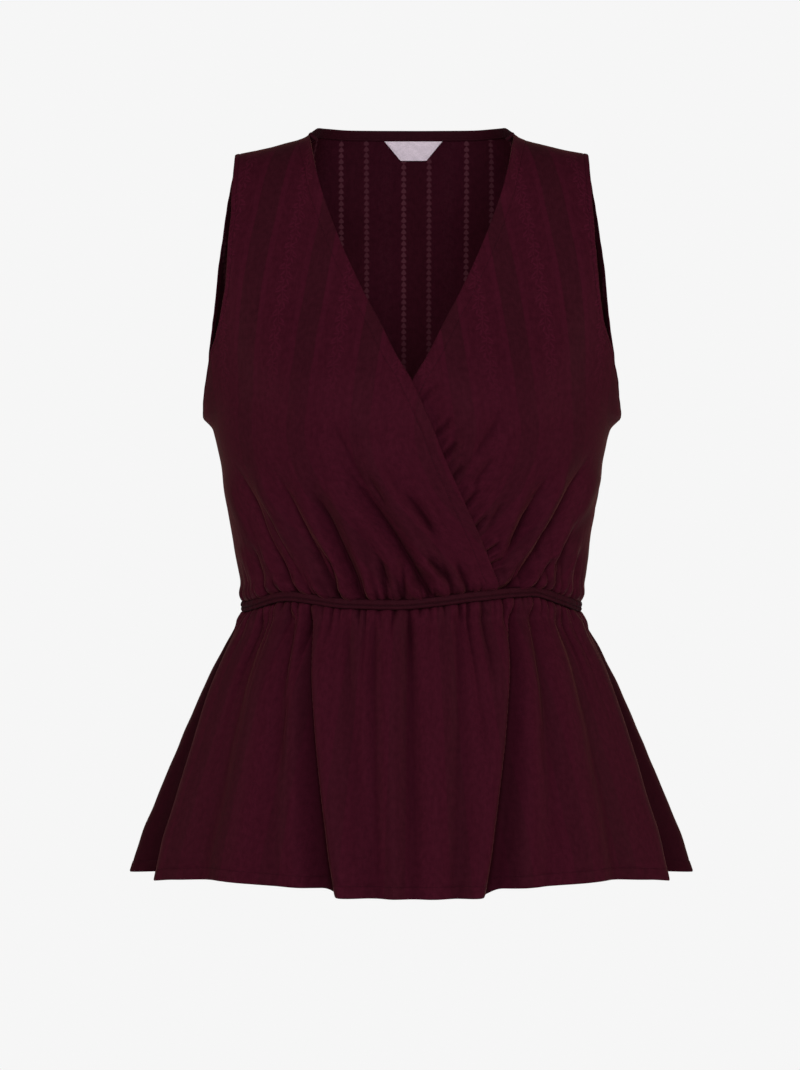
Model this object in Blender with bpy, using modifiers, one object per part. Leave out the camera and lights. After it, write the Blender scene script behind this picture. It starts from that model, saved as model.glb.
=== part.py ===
"""Sleeveless wrap-front pajama top with a gathered waist and a flared peplum, filled out as worn.

Metres, +Z up. The origin is midway between the shoulders, level with the back neck edge.
The front faces -Y, and the wearer's left is at +X. Heights are below the origin, so negative.
An angle round the body is 0 at the centre front or centre back and 90 degrees at a side seam,
positive towards the wearer's left.
"""

import math

import bpy
import numpy as np

NAME = "pajama_top"

# Cloth and seams
WALL = 0.0012
SEAM_GAP = 0.0004
WAIST_GAP = 0.0005
FRONT = -1
BACK = 1
SIDE_SEAM = math.radians(90)

# Shoulders and armholes
ARCH_DROP = 0.060
SHOULDER_TIP_X = 0.1405
NECK_POINT_X = 0.082
UNDERARM = -0.233
FLARE_ANGLE = math.radians(9)
CORNER_TALL = 0.008
CORNER_CLEARANCE = 0.0005
SHOULDER_CLEARANCE = 0.0002

# Waist and hem
CASING_HALF = 0.0037
CASING_BULGE = 0.0016
CASING_WALL = 0.0016

# Wrap: how deep the under front lies behind the upper one, and how far from its edge that fades
LAP_DEPTH = 0.0038
LAP_FADE = 0.024

# Bust fullness of a general figure, let out by the gathers under it
BUST_X = 0.073
BUST_HEIGHT = -0.222
BUST_WIDE = 0.050
BUST_TALL = 0.056
BUST_OUT = 0.011

# Gathers, crest to crest over two columns of points
FRONT_GATHERS = 20
BACK_GATHERS = 26
PEPLUM_GATHERS = 28
GATHER_DEPTH = 0.0012
BODICE_REACH = 0.022
PEPLUM_REACH = 0.045

# Back neck binding and label, inside the back
BINDING_WIDE = 0.0078
BINDING_WALL = 0.0010
LABEL_TOP = -0.0092
LABEL_TALL = 0.0155
LABEL_TOP_WIDE = 0.047
LABEL_FOOT_WIDE = 0.021
LABEL_CENTRE_X = 0.0016
LABEL_WALL = 0.0010
INNER_CLEARANCE = 0.0006


def table(names, *rows):
    """Columns of numbers by name. The others are read along the first, which rises."""
    return dict(zip(names.split(), np.array(rows, dtype=float).T))


BODY = table(
    "height  half_width front_depth back_depth squareness",
    (-0.384, 0.1346, 0.0930, 0.0775, 2.20),
    (-0.371, 0.1362, 0.0945, 0.0780, 2.20),
    (-0.354, 0.1390, 0.0965, 0.0790, 2.20),
    (-0.330, 0.1426, 0.1000, 0.0815, 2.20),
    (-0.306, 0.1463, 0.1040, 0.0850, 2.25),
    (-0.282, 0.1498, 0.1075, 0.0885, 2.25),
    (-0.258, 0.1538, 0.1095, 0.0915, 2.30),
    (-0.233, 0.1592, 0.1090, 0.0940, 2.30),
    (-0.203, 0.1630, 0.1050, 0.0950, 2.40),
    (-0.179, 0.1655, 0.0985, 0.0945, 2.50),
    (-0.150, 0.1690, 0.0880, 0.0920, 2.60),
    (-0.100, 0.1745, 0.0680, 0.0830, 3.00),
    (-0.060, 0.1760, 0.0520, 0.0700, 3.00),
    (0.000, 0.1760, 0.0420, 0.0590, 3.00),
)

# Top of the shoulders across the body, going on up as the side of the neck
SHOULDER = table(
    "x       height",
    (0.0000, 0.0600),
    (0.0400, 0.0480),
    (0.0600, 0.0320),
    (0.0740, 0.0100),
    (0.0780, 0.0000),
    (0.0820, -0.0075),
    (0.0870, -0.0105),
    (0.1030, -0.0150),
    (0.1200, -0.0192),
    (0.1405, -0.0235),
    (0.1800, -0.0330),
)

# Cut edges, as the distance from the centre. The neckline goes past the centre below the V.
NECKLINE = table(
    "height  x",
    (-0.384, -0.0690),
    (-0.360, -0.0660),
    (-0.338, -0.0590),
    (-0.294, -0.0395),
    (-0.262, -0.0250),
    (-0.240, -0.0165),
    (-0.202, 0.0000),
    (-0.183, 0.0115),
    (-0.156, 0.0250),
    (-0.134, 0.0370),
    (-0.098, 0.0540),
    (-0.082, 0.0605),
    (-0.066, 0.0665),
    (-0.050, 0.0718),
    (-0.032, 0.0765),
    (-0.0075, 0.0820),
)
BACK_NECK = table(
    "x       height",
    (0.0000, -0.0010),
    (0.0500, -0.0008),
    (0.0700, 0.0000),
    (0.0745, 0.0000),
    (0.0785, -0.0030),
    (0.0820, -0.0075),
)
ARMHOLE = table(
    "height  front_x back_x",
    (-0.2330, 0.1660, 0.1660),
    (-0.2220, 0.1662, 0.1668),
    (-0.2030, 0.1630, 0.1655),
    (-0.1790, 0.1585, 0.1635),
    (-0.1500, 0.1515, 0.1605),
    (-0.1000, 0.1465, 0.1555),
    (-0.0600, 0.1435, 0.1490),
    (-0.0235, 0.1405, 0.1405),
)

# The armhole's lowest corner stands off the side, because no arm holds it in
FLARE = table(
    "height  out",
    (-0.250, 0.0000),
    (-0.242, 0.0006),
    (-0.238, 0.0030),
    (-0.233, 0.0068),
    (-0.222, 0.0055),
    (-0.203, 0.0020),
    (-0.170, 0.0000),
)

# Middle of the waist seam, which the elastic pulls into a shallow wave in front
WAIST_FRONT = table(
    "x       height",
    (-0.1340, -0.3830),
    (-0.0960, -0.3710),
    (-0.0500, -0.3755),
    (-0.0100, -0.3760),
    (0.0150, -0.3740),
    (0.0480, -0.3700),
    (0.0930, -0.3670),
    (0.1150, -0.3740),
    (0.1340, -0.3830),
)
WAIST_BACK = table(
    "x       height",
    (-0.1340, -0.3830),
    (-0.0700, -0.3775),
    (0.0000, -0.3765),
    (0.0700, -0.3775),
    (0.1340, -0.3830),
)

PEPLUM = table(
    "height  half_width front_depth back_depth squareness",
    (-0.6100, 0.2100, 0.1490, 0.1370, 2.10),
    (-0.5660, 0.2000, 0.1440, 0.1310, 2.10),
    (-0.5420, 0.1925, 0.1390, 0.1250, 2.10),
    (-0.4940, 0.1775, 0.1270, 0.1120, 2.15),
    (-0.4460, 0.1615, 0.1135, 0.0980, 2.20),
    (-0.4200, 0.1510, 0.1060, 0.0900, 2.20),
    (-0.4000, 0.1412, 0.0990, 0.0830, 2.20),
    (-0.3840, 0.1346, 0.0930, 0.0775, 2.20),
    (-0.3600, 0.1346, 0.0930, 0.0775, 2.20),
)

# The hem stands a little lower between the two deepest folds in front, and at the wide back folds
HEM_FRONT = table(
    "degrees height",
    (0, -0.5985),
    (16, -0.5975),
    (21, -0.5925),
    (45, -0.5900),
    (65, -0.5945),
    (77, -0.5985),
    (90, -0.5965),
)
HEM_BACK = table(
    "degrees height",
    (0, -0.5970),
    (50, -0.5970),
    (77, -0.6020),
    (90, -0.5965),
)

# Troughs in the fronts that run up and out from the waist gathers
CREASE_COLUMNS = "top_x top_height middle_x foot_x foot_height width depth"
FRONT_CREASES = (
    (-0.140, -0.272, -0.112, -0.092, -0.368, 0.0075, 0.0030),
    (-0.106, -0.276, -0.082, -0.058, -0.370, 0.0085, 0.0034),
    (-0.084, -0.268, -0.060, -0.038, -0.372, 0.0085, 0.0036),
    (-0.057, -0.272, -0.026, 0.006, -0.366, 0.0090, 0.0036),
    (-0.058, -0.236, -0.028, 0.004, -0.322, 0.0080, 0.0022),
    (0.142, -0.262, 0.124, 0.088, -0.362, 0.0080, 0.0032),
    (0.110, -0.280, 0.084, 0.070, -0.350, 0.0075, 0.0026),
    (0.086, -0.268, 0.066, 0.054, -0.330, 0.0080, 0.0030),
    (0.128, -0.330, 0.114, 0.102, -0.366, 0.0070, 0.0024),
)
BACK_CREASES = (
    (-0.132, -0.276, -0.108, -0.088, -0.372, 0.0085, 0.0030),
    (-0.092, -0.292, -0.072, -0.060, -0.372, 0.0085, 0.0026),
    (-0.046, -0.286, -0.036, -0.030, -0.372, 0.0085, 0.0024),
    (0.004, -0.296, 0.002, 0.002, -0.372, 0.0085, 0.0022),
    (0.050, -0.284, 0.040, 0.034, -0.372, 0.0085, 0.0026),
    (0.094, -0.298, 0.078, 0.066, -0.372, 0.0085, 0.0024),
    (0.134, -0.270, 0.112, 0.092, -0.372, 0.0085, 0.0030),
)

# Folds of the peplum, in degrees from its centre. A minus depth is a trough.
PEPLUM_FOLD_COLUMNS = "waist_angle hem_angle width waist_depth hem_depth"
PEPLUM_FRONT_FOLDS = (
    (-90, -90, 6, 0.0000, -0.0100),
    (-77, -77, 7, 0.0010, 0.0050),
    (-66, -58, 5, -0.0016, -0.0060),
    (-52, -46, 6, 0.0010, 0.0035),
    (-44, -33, 5, -0.0014, -0.0050),
    (-36, -18, 4, -0.0020, -0.0085),
    (-20, -10, 5, 0.0008, 0.0030),
    (-2, -1, 4, -0.0010, -0.0030),
    (18, 10, 5, 0.0008, 0.0030),
    (36, 19, 4, -0.0020, -0.0080),
    (46, 34, 5, -0.0014, -0.0045),
    (54, 46, 6, 0.0010, 0.0035),
    (65, 57, 5, -0.0016, -0.0060),
    (77, 77, 7, 0.0010, 0.0050),
    (90, 90, 6, 0.0000, -0.0100),
)
PEPLUM_BACK_FOLDS = (
    (-90, -90, 6, 0.0000, -0.0100),
    (-76, -77, 9, 0.0012, 0.0265),
    (-58, -52, 6, -0.0016, -0.0085),
    (-44, -38, 6, 0.0012, 0.0060),
    (-30, -25, 5, -0.0016, -0.0080),
    (-16, -12, 6, 0.0010, 0.0050),
    (-3, -1, 5, -0.0012, -0.0060),
    (12, 11, 6, 0.0010, 0.0050),
    (28, 24, 5, -0.0016, -0.0085),
    (42, 37, 6, 0.0012, 0.0060),
    (57, 52, 6, -0.0016, -0.0080),
    (76, 77, 9, 0.0012, 0.0265),
    (90, 90, 6, 0.0000, -0.0100),
)

# How many points a sheet has each way
UPPER_STRIDE = 2
ARCH_ROWS = 6
ARMHOLE_ROWS = 7
FLARE_DEPTHS = (0.0045, 0.0140)
CHEST_ROWS = 3
CREASE_ROWS = 4
GATHER_ROWS = 5
CREASE_ZONE = 0.100
GATHER_ZONE = 0.042
CASING_COLUMNS = 36
CASING_ROWS = 3
PEPLUM_ROWS = 10
NECK_SHARE = 20 / 52

DARK_SATIN = (0.060, 0.012, 0.026, 1)
DARK_BINDING = (0.036, 0.008, 0.017, 1)
LABEL_WHITE = (0.80, 0.78, 0.78, 1)


def read(columns, name, at):
    """Value of a named column, joined smoothly through its rows and held beyond the ends."""
    keys = next(iter(columns.values()))
    values = columns[name]
    step = np.diff(keys)
    slope = np.diff(values) / step
    product = slope[:-1] * slope[1:]
    same_way = product > 0
    total = np.where(same_way, slope[:-1] + slope[1:], 1.0)
    inner = np.where(same_way, 2 * product / total, 0.0)
    tangent = np.concatenate(([slope[0]], inner, [slope[-1]]))
    at = np.clip(at, keys[0], keys[-1])
    cell = np.clip(np.searchsorted(keys, at) - 1, 0, len(step) - 1)
    t = (at - keys[cell]) / step[cell]
    start = values[cell] + t**2 * (3 - 2 * t) * (values[cell + 1] - values[cell])
    bend = t * (1 - t) ** 2 * tangent[cell] - t**2 * (1 - t) * tangent[cell + 1]
    return start + bend * step[cell]


def smooth(t):
    """0 to 1 with level ends."""
    t = np.clip(t, 0, 1)
    return t * t * (3 - 2 * t)


def blend(start, end, share):
    return start + (end - start) * share


# ---- The form under the cloth ----


def ring_point(form, angle, height, facing):
    """Point of a form's rounded section, on its front or back half."""
    wide = read(form, "half_width", height)
    deep = read(form, "front_depth" if facing == FRONT else "back_depth", height)
    square = read(form, "squareness", height)
    across = np.sin(angle)
    rounding = np.clip(1 - np.abs(across) ** square, 0, 1) ** (1 / square)
    return wide * across, deep * rounding


def outward(angle, facing, distance):
    """Level offset away from the body."""
    return distance * np.sin(angle), facing * distance * np.cos(angle)


def creases(rows, x, height):
    """Depth of soft troughs that fade in at their tops and run on into the waist."""
    names = CREASE_COLUMNS.split()
    total = np.zeros_like(x)
    for row in rows:
        crease = dict(zip(names, row))
        run = crease["top_height"] - crease["foot_height"]
        t = (crease["top_height"] - height) / run
        inside = np.clip(t, 0, 1)
        straight = blend(crease["top_x"], crease["foot_x"], inside)
        bow = crease["middle_x"] - (crease["top_x"] + crease["foot_x"]) / 2
        centre = straight + 4 * bow * inside * (1 - inside)
        lean = (crease["foot_x"] - crease["top_x"]) / run
        away = (x - centre) / math.hypot(1, lean) / crease["width"]
        ends = smooth(t / 0.35) * smooth((1.25 - t) / 0.25)
        total -= crease["depth"] * ends * np.exp(-(away**2))
    return total


def gathers(share, count, from_seam, reach):
    """Waves beside a gathered seam. They die out away from it, and at both ends of the seam."""
    phase = share * count
    uneven = 1 + 0.30 * np.sin(1.9 * phase + 0.7)
    ends = smooth(np.minimum(share, 1 - share) * count / 1.5)
    wave = np.cos(2 * math.pi * phase)
    return GATHER_DEPTH * wave * uneven * ends * np.exp(-from_seam / reach)


def body_point(angle, height, facing, edge_angle, relief):
    """Point of the bodice. Over the shoulder the half closes onto the shoulder seam."""
    x, deep = ring_point(BODY, angle, height, facing)
    below = np.clip(read(SHOULDER, "height", np.abs(x)) - height, 0, ARCH_DROP)
    arch = np.sqrt(1 - (1 - below / ARCH_DROP) ** 2)
    y = facing * (deep * arch + SEAM_GAP / 2 + SHOULDER_CLEARANCE * (1 - arch))
    if facing == FRONT:
        across = (np.abs(x) - BUST_X) / BUST_WIDE
        along = (height - BUST_HEIGHT) / BUST_TALL
        relief = relief + BUST_OUT * np.exp(-(across**2) - along**2)
    out_x, out_y = outward(angle, facing, relief)
    from_edge = (edge_angle - np.abs(angle)) / FLARE_ANGLE
    near_edge = np.exp(-(from_edge**2))
    x = x + out_x + np.sign(angle) * read(FLARE, "out", height) * near_edge
    # The walls turn inwards at the underarm corner, so their ends stand a little further apart
    near_corner = near_edge * np.exp(-(((height - UNDERARM) / CORNER_TALL) ** 2))
    y = y + out_y + facing * CORNER_CLEARANCE * near_corner
    return np.stack([x, y, height], axis=-1)


def armhole_angle(height, facing):
    """Angle of the outer edge: the armhole, and the side seam below it."""
    edge = read(ARMHOLE, "front_x" if facing == FRONT else "back_x", height)
    share = (edge - read(FLARE, "out", height)) / read(BODY, "half_width", height)
    open_angle = np.arcsin(np.clip(share, 0, 1))
    return np.where(height > UNDERARM + 1e-6, open_angle, SIDE_SEAM)


def waist_height(x, facing):
    return read(WAIST_FRONT if facing == FRONT else WAIST_BACK, "height", x)


# ---- Sheets ----


def body_stations():
    """Shares of the way down from shoulder to waist for the rows of the bodice."""
    top = float(read(SHOULDER, "height", SHOULDER_TIP_X))
    whole = top - (waist_height(BODY["half_width"][0], FRONT) + CASING_HALF + WAIST_GAP)
    turn = np.linspace(0, math.pi / 2, ARCH_ROWS + 1)
    arch = ARCH_DROP * (1 - np.cos(turn))
    underarm = top - UNDERARM
    armhole = np.linspace(ARCH_DROP, underarm, ARMHOLE_ROWS + 1)[1:]
    flare = underarm + np.array(FLARE_DEPTHS)
    chest = np.linspace(flare[-1], whole - CREASE_ZONE, CHEST_ROWS + 1)[1:]
    crease = np.linspace(chest[-1], whole - GATHER_ZONE, CREASE_ROWS + 1)[1:]
    gather = np.linspace(crease[-1], whole, GATHER_ROWS + 1)[1:]
    depths = np.concatenate([arch, armhole, flare, chest, crease, gather])
    return depths / whole


def body_strides(stations):
    """The rows under the chest have twice the points, for the creases and gathers."""
    fine = CREASE_ROWS + GATHER_ROWS + 1
    return [UPPER_STRIDE] * (len(stations) - fine) + [1] * fine


def front_points(side, is_upper):
    """Points of one front. side is -1 for the wearer's right and 1 for the left."""
    share = np.linspace(0, 1, 2 * FRONT_GATHERS + 1)[None, :]
    station = body_stations()[:, None]
    top_wide = BODY["half_width"][-1]
    tip = math.asin(SHOULDER_TIP_X / top_wide)
    neck = math.asin(NECK_POINT_X / top_wide)
    top_x = top_wide * np.sin(blend(tip, neck, share))
    top = read(SHOULDER, "height", top_x)
    waist_wide = BODY["half_width"][0]
    waist_inner = math.asin(NECKLINE["x"][0] / waist_wide)
    foot_x = waist_wide * np.sin(blend(SIDE_SEAM, waist_inner, share))
    foot = waist_height(side * foot_x, FRONT) + CASING_HALF + WAIST_GAP
    height = blend(top, foot, station)
    outer_height = height[:, :1]
    inner_height = height[:, -1:]
    outer = armhole_angle(outer_height, FRONT)
    inner_share = read(NECKLINE, "x", inner_height) / read(BODY, "half_width", inner_height)
    angle = side * blend(outer, np.arcsin(inner_share), share)
    x = ring_point(BODY, angle, height, FRONT)[0]
    # Clear of the upper front's edge this is positive, and behind that front it is negative
    shown = x + read(NECKLINE, "x", height)
    behind = np.zeros_like(x) if is_upper else 1 - smooth(shown / LAP_FADE)
    from_seam = height - foot
    relief = creases(FRONT_CREASES, x, height) - LAP_DEPTH * behind
    relief += (1 - behind) * gathers(share, FRONT_GATHERS, from_seam, BODICE_REACH)
    return body_point(angle, height, FRONT, outer, relief)


def back_edge():
    """Angles and heights of the back's top edge: shoulder, neck and shoulder."""
    count = 2 * BACK_GATHERS
    share = np.linspace(-1, 1, count + 1)
    top_wide = BODY["half_width"][-1]
    tip = math.asin(SHOULDER_TIP_X / top_wide)
    neck = math.asin(NECK_POINT_X / top_wide)
    # Across the neck the points are closer together where its edge turns up to the shoulder
    turn = np.sin(np.clip(np.abs(share) / NECK_SHARE, 0, 1) * math.pi / 2)
    neck_angle = np.arcsin(NECK_POINT_X * turn / top_wide)
    shoulder_angle = np.interp(np.abs(share), (NECK_SHARE, 1), (neck, tip))
    on_neck = np.abs(share) < NECK_SHARE + 1e-6
    angle = np.where(on_neck, neck_angle, shoulder_angle) * np.sign(share)
    x = np.abs(top_wide * np.sin(angle))
    shoulder = read(SHOULDER, "height", x)
    height = np.where(on_neck, read(BACK_NECK, "height", x), shoulder)
    return share, angle, height


def back_points():
    share, top_angle, top = (values[None, :] for values in back_edge())
    station = body_stations()[:, None]
    foot_x = BODY["half_width"][0] * np.sin(SIDE_SEAM * share)
    foot = waist_height(foot_x, BACK) + CASING_HALF + WAIST_GAP
    height = blend(top, foot, station)
    outer = armhole_angle(height[:, :1], BACK)
    # The columns start spread as at the neck and end evenly spread
    spread = blend(top_angle / top_angle[0, -1], share, smooth(station * 1.6))
    angle = outer * spread
    x = ring_point(BODY, angle, height, BACK)[0]
    relief = creases(BACK_CREASES, x, height)
    relief += gathers((share + 1) / 2, BACK_GATHERS, height - foot, BODICE_REACH)
    return body_point(angle, height, BACK, outer, relief)


def casing_points(facing):
    """A narrow band over the waist seam, rounded outwards."""
    angle = np.linspace(-SIDE_SEAM, SIDE_SEAM, CASING_COLUMNS + 1)[None, :]
    rise = np.linspace(-1, 1, CASING_ROWS + 1)[::-1, None]
    x, deep = ring_point(BODY, angle, np.full_like(angle, BODY["height"][0]), facing)
    height = waist_height(x, facing) + CASING_HALF * rise
    out_x, out_y = outward(angle, facing, CASING_BULGE * np.sqrt(np.clip(1.15 - rise**2, 0, 1)))
    y = facing * (deep + SEAM_GAP / 2) + out_y
    return np.stack(np.broadcast_arrays(x + out_x, y, height), axis=-1)


def peplum_folds(rows, angle, down):
    """Ridges and troughs that fan out from the waist to the hem."""
    names = PEPLUM_FOLD_COLUMNS.split()
    total = np.zeros(np.broadcast(angle, down).shape)
    for row in rows:
        fold = dict(zip(names, row))
        centre = blend(fold["waist_angle"], fold["hem_angle"], down**0.8)
        depth = blend(fold["waist_depth"], fold["hem_depth"], down)
        away = (np.degrees(angle) - centre) / fold["width"]
        total += depth * smooth(down / 0.12) * np.exp(-(away**2))
    return total


def peplum_points(facing):
    share = np.linspace(0, 1, 2 * PEPLUM_GATHERS + 1)[None, :]
    angle = blend(-SIDE_SEAM, SIDE_SEAM, share)
    down = np.linspace(0, 1, PEPLUM_ROWS + 1)[:, None] ** 1.25
    waist_x = BODY["half_width"][0] * np.sin(angle)
    top = waist_height(waist_x, facing) - CASING_HALF - SEAM_GAP
    hem = read(HEM_FRONT if facing == FRONT else HEM_BACK, "height", np.degrees(np.abs(angle)))
    height = blend(top, hem, down)
    x, deep = ring_point(PEPLUM, angle, height, facing)
    rows = PEPLUM_FRONT_FOLDS if facing == FRONT else PEPLUM_BACK_FOLDS
    relief = peplum_folds(rows, angle, down)
    relief += gathers(share, PEPLUM_GATHERS, top - height, PEPLUM_REACH)
    out_x, out_y = outward(angle, facing, relief)
    return np.stack([x + out_x, facing * (deep + SEAM_GAP / 2) + out_y, height], axis=-1)


# ---- Pieces on the inside of the back ----


def square_to(points):
    """Directions square to a sheet, pointing out of the garment's back."""
    across = np.gradient(points, axis=1)
    along = np.gradient(points, axis=0)
    out = np.cross(across, along)
    return out / np.linalg.norm(out, axis=-1, keepdims=True)


def on_back(x, height):
    """Points of the back at given places seen square on."""
    angle = np.arcsin(x / read(BODY, "half_width", height))
    return body_point(angle, height, BACK, SIDE_SEAM, np.zeros_like(x))


def binding_points():
    """A band from the back neck edge, laid square to that edge on the inside."""
    columns = BACK_GATHERS * (1 + np.array([-NECK_SHARE, NECK_SHARE]))
    neck = slice(round(columns[0]), round(columns[1]) + 1, UPPER_STRIDE)
    back = back_points()[:3, neck]
    out = square_to(back)[0]
    edge = back[0]
    run = np.gradient(edge, axis=0)
    run[[0, -1], 0] = 0
    run[[0, -1], 2] = 0
    run /= np.linalg.norm(run, axis=-1, keepdims=True)
    away = np.cross(out, run)
    away /= np.linalg.norm(away, axis=-1, keepdims=True)
    width = np.linspace(0, BINDING_WIDE, 3)[:, None, None]
    depth = WALL + INNER_CLEARANCE + width**2 / (2 * ARCH_DROP)
    return edge + width * away - depth * out


def label_points():
    down = np.linspace(0, 1, 4)[:, None]
    wide = blend(LABEL_TOP_WIDE, LABEL_FOOT_WIDE, down)
    x = LABEL_CENTRE_X + wide * np.linspace(-0.5, 0.5, 7)[None, :]
    points = on_back(*np.broadcast_arrays(x, LABEL_TOP - LABEL_TALL * down))
    return points - (WALL + INNER_CLEARANCE) * square_to(points)


# ---- Objects ----


def satin(name, colour, roughness):
    material = bpy.data.materials.new(name)
    material.use_nodes = True
    shader = material.node_tree.nodes["Principled BSDF"]
    shader.inputs["Base Color"].default_value = colour
    shader.inputs["Roughness"].default_value = roughness
    shader.inputs["Metallic"].default_value = 0.0
    return material


def sheet_faces(rows, columns, strides):
    """Faces between neighbouring rows, which may have every point or every second one."""
    faces = []
    for row in range(rows - 1):
        upper, lower = strides[row], strides[row + 1]
        for start in range(0, columns - 1, upper):
            end = start + upper
            above = [(row, start), (row, end)]
            below = [(row + 1, column) for column in range(end, start - 1, -lower)]
            faces.append([r * columns + c for r, c in above + below])
    return faces


def add_sheet(collection, name, points, wall, material, strides=None, facing=BACK):
    """A sheet of points as an open surface, thickened inwards."""
    rows, columns = points.shape[:2]
    faces = sheet_faces(rows, columns, strides or [1] * rows)
    if facing == FRONT:
        faces = [face[::-1] for face in faces]
    used = sorted({corner for face in faces for corner in face})
    number = {corner: index for index, corner in enumerate(used)}
    corners = points.reshape(-1, 3)[used]
    mesh = bpy.data.meshes.new(name)
    mesh.from_pydata(corners.tolist(), [], [[number[c] for c in face] for face in faces])
    mesh.materials.append(material)
    mesh.shade_smooth()
    sheet = bpy.data.objects.new(name, mesh)
    collection.objects.link(sheet)
    thicken = sheet.modifiers.new("cloth", "SOLIDIFY")
    thicken.thickness = wall
    thicken.offset = -1
    return sheet


def clear_scene():
    for old in list(bpy.data.objects):
        bpy.data.objects.remove(old, do_unlink=True)


def main():
    clear_scene()
    collection = bpy.data.collections.new(NAME)
    bpy.context.scene.collection.children.link(collection)
    strides = body_strides(body_stations())

    cloth = satin("satin", DARK_SATIN, 0.42)
    add_sheet(collection, "front_right", front_points(-1, True), WALL, cloth, strides, FRONT)
    left = front_points(1, False)[:, ::-1]
    add_sheet(collection, "front_left", left, WALL, satin("satin_under", DARK_SATIN, 0.42),
              strides, FRONT)
    add_sheet(collection, "back", back_points(), WALL, satin("satin_back", DARK_SATIN, 0.45),
              strides, BACK)
    for facing, side in ((FRONT, "front"), (BACK, "back")):
        casing = satin(f"casing_{side}", DARK_BINDING, 0.45)
        peplum = satin(f"peplum_{side}", DARK_SATIN, 0.42)
        add_sheet(collection, f"waist_casing_{side}", casing_points(facing), CASING_WALL,
                  casing, facing=facing)
        add_sheet(collection, f"peplum_{side}", peplum_points(facing), WALL, peplum,
                  facing=facing)
    add_sheet(collection, "back_neck_binding", binding_points(), BINDING_WALL,
              satin("binding", DARK_BINDING, 0.5))
    add_sheet(collection, "neck_label", label_points(), LABEL_WALL,
              satin("label", LABEL_WHITE, 0.6))


main()
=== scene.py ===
"""Looks of the sleeveless wrap-front pajama top with a gathered waist and a flared peplum.

Metres, +Z up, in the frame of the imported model. The front faces -Y, and the wearer's left is at +X.
Heights are below the origin, so negative. An angle round the body is 0 at the centre front or
centre back and 90 degrees at a side seam, positive towards the wearer's left.

Each sheet of cloth is a fine grid on the form of its CAD solid, with a hem, creases and gathers of
its own. Its UV map holds places on the cloth in metres, and the woven pattern is drawn from them.
"""

import math

import bpy
import numpy as np
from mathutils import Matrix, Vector


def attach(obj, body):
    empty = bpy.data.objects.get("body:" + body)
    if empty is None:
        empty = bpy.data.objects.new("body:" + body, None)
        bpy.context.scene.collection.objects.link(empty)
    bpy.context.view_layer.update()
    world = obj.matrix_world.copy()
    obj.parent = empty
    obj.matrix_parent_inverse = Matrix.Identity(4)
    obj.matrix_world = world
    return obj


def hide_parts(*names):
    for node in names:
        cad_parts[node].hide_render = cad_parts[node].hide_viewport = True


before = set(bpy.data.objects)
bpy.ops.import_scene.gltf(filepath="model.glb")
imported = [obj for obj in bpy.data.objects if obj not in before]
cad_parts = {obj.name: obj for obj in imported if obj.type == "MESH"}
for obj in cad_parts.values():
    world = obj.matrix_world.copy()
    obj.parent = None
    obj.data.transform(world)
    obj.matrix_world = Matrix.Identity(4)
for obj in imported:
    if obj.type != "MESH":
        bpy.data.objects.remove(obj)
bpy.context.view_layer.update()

BODY_NAME = "root"
FRONT = -1
BACK = 1
SIDE_SEAM = math.radians(90)
RANDOM_SEED = 7

# Cloth and seams
CLOTH = 0.0006
HEM_CLOTH = 0.0013
BAND_CLOTH = 0.0007
SEAM_OVERLAP = 0.0002
TUCK = 0.0016

# Shoulders and armholes
ARCH_DROP = 0.060
SHOULDER_TIP_X = 0.1405
NECK_POINT_X = 0.082
UNDERARM = -0.233
FLARE_ANGLE = math.radians(9)

# Waist
CASING_HALF = 0.0037
CASING_BULGE = 0.0019

# Wrap: how deep the under front lies behind the upper one, and how far from its edge that fades
LAP_DEPTH = 0.0038
LAP_FADE = 0.024

# Bust fullness of a general figure
BUST_X = 0.073
BUST_HEIGHT = -0.222
BUST_WIDE = 0.050
BUST_TALL = 0.056
BUST_OUT = 0.011

# Hems: from the edge to the row of stitches
ARMHOLE_HEM = 0.0040
NECK_HEM = 0.0098
BOTTOM_HEM = 0.0092

# Back neck binding and label, inside the back
BINDING_WIDE = 0.0078
BINDING_STITCHES = 0.0013
LABEL_TOP = -0.0092
LABEL_TALL = 0.0155
LABEL_TOP_WIDE = 0.047
LABEL_FOOT_WIDE = 0.021
LABEL_CENTRE_X = 0.0016
INNER_CLEARANCE = 0.0006

# Woven pattern: pairs of heart chains on a plain satin band, and a sprig band between the pairs
REPEAT = 0.051
CHAIN_FROM_MIDDLE = 0.0103
CHAIN_HALF = 0.0023
CHAIN_PITCH = 0.0049
SPRIG_TALL = 0.020

# Where the middle of a pair lies: from the centre front, the back's middle and the peplum's
FRONT_PAIR_AT = 0.0575
BACK_PAIR_AT = 0.0041
PEPLUM_PAIR_AT = -0.0134
# Share of the pattern's strength that is left where the cloth is full
FULL_SHARE = 0.30

# ---- Tables: lengths in millimetres ----

PLAIN_COLUMNS = (
    "squareness degrees front back reach share lip runs_on waist_angle hem_angle waist_wide hem_wide "
    "steep").split()


def table(names, *rows):
    """Columns of numbers by name. All but the plain columns are lengths and become metres."""
    columns = zip(names.split(), np.array(rows, dtype=float).T)
    return {name: values if name in PLAIN_COLUMNS else values / 1000 for name, values in columns}


def rows_of(columns):
    """Each row of a table, by the names of its columns."""
    return [dict(zip(columns, row)) for row in zip(*columns.values())]


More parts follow.
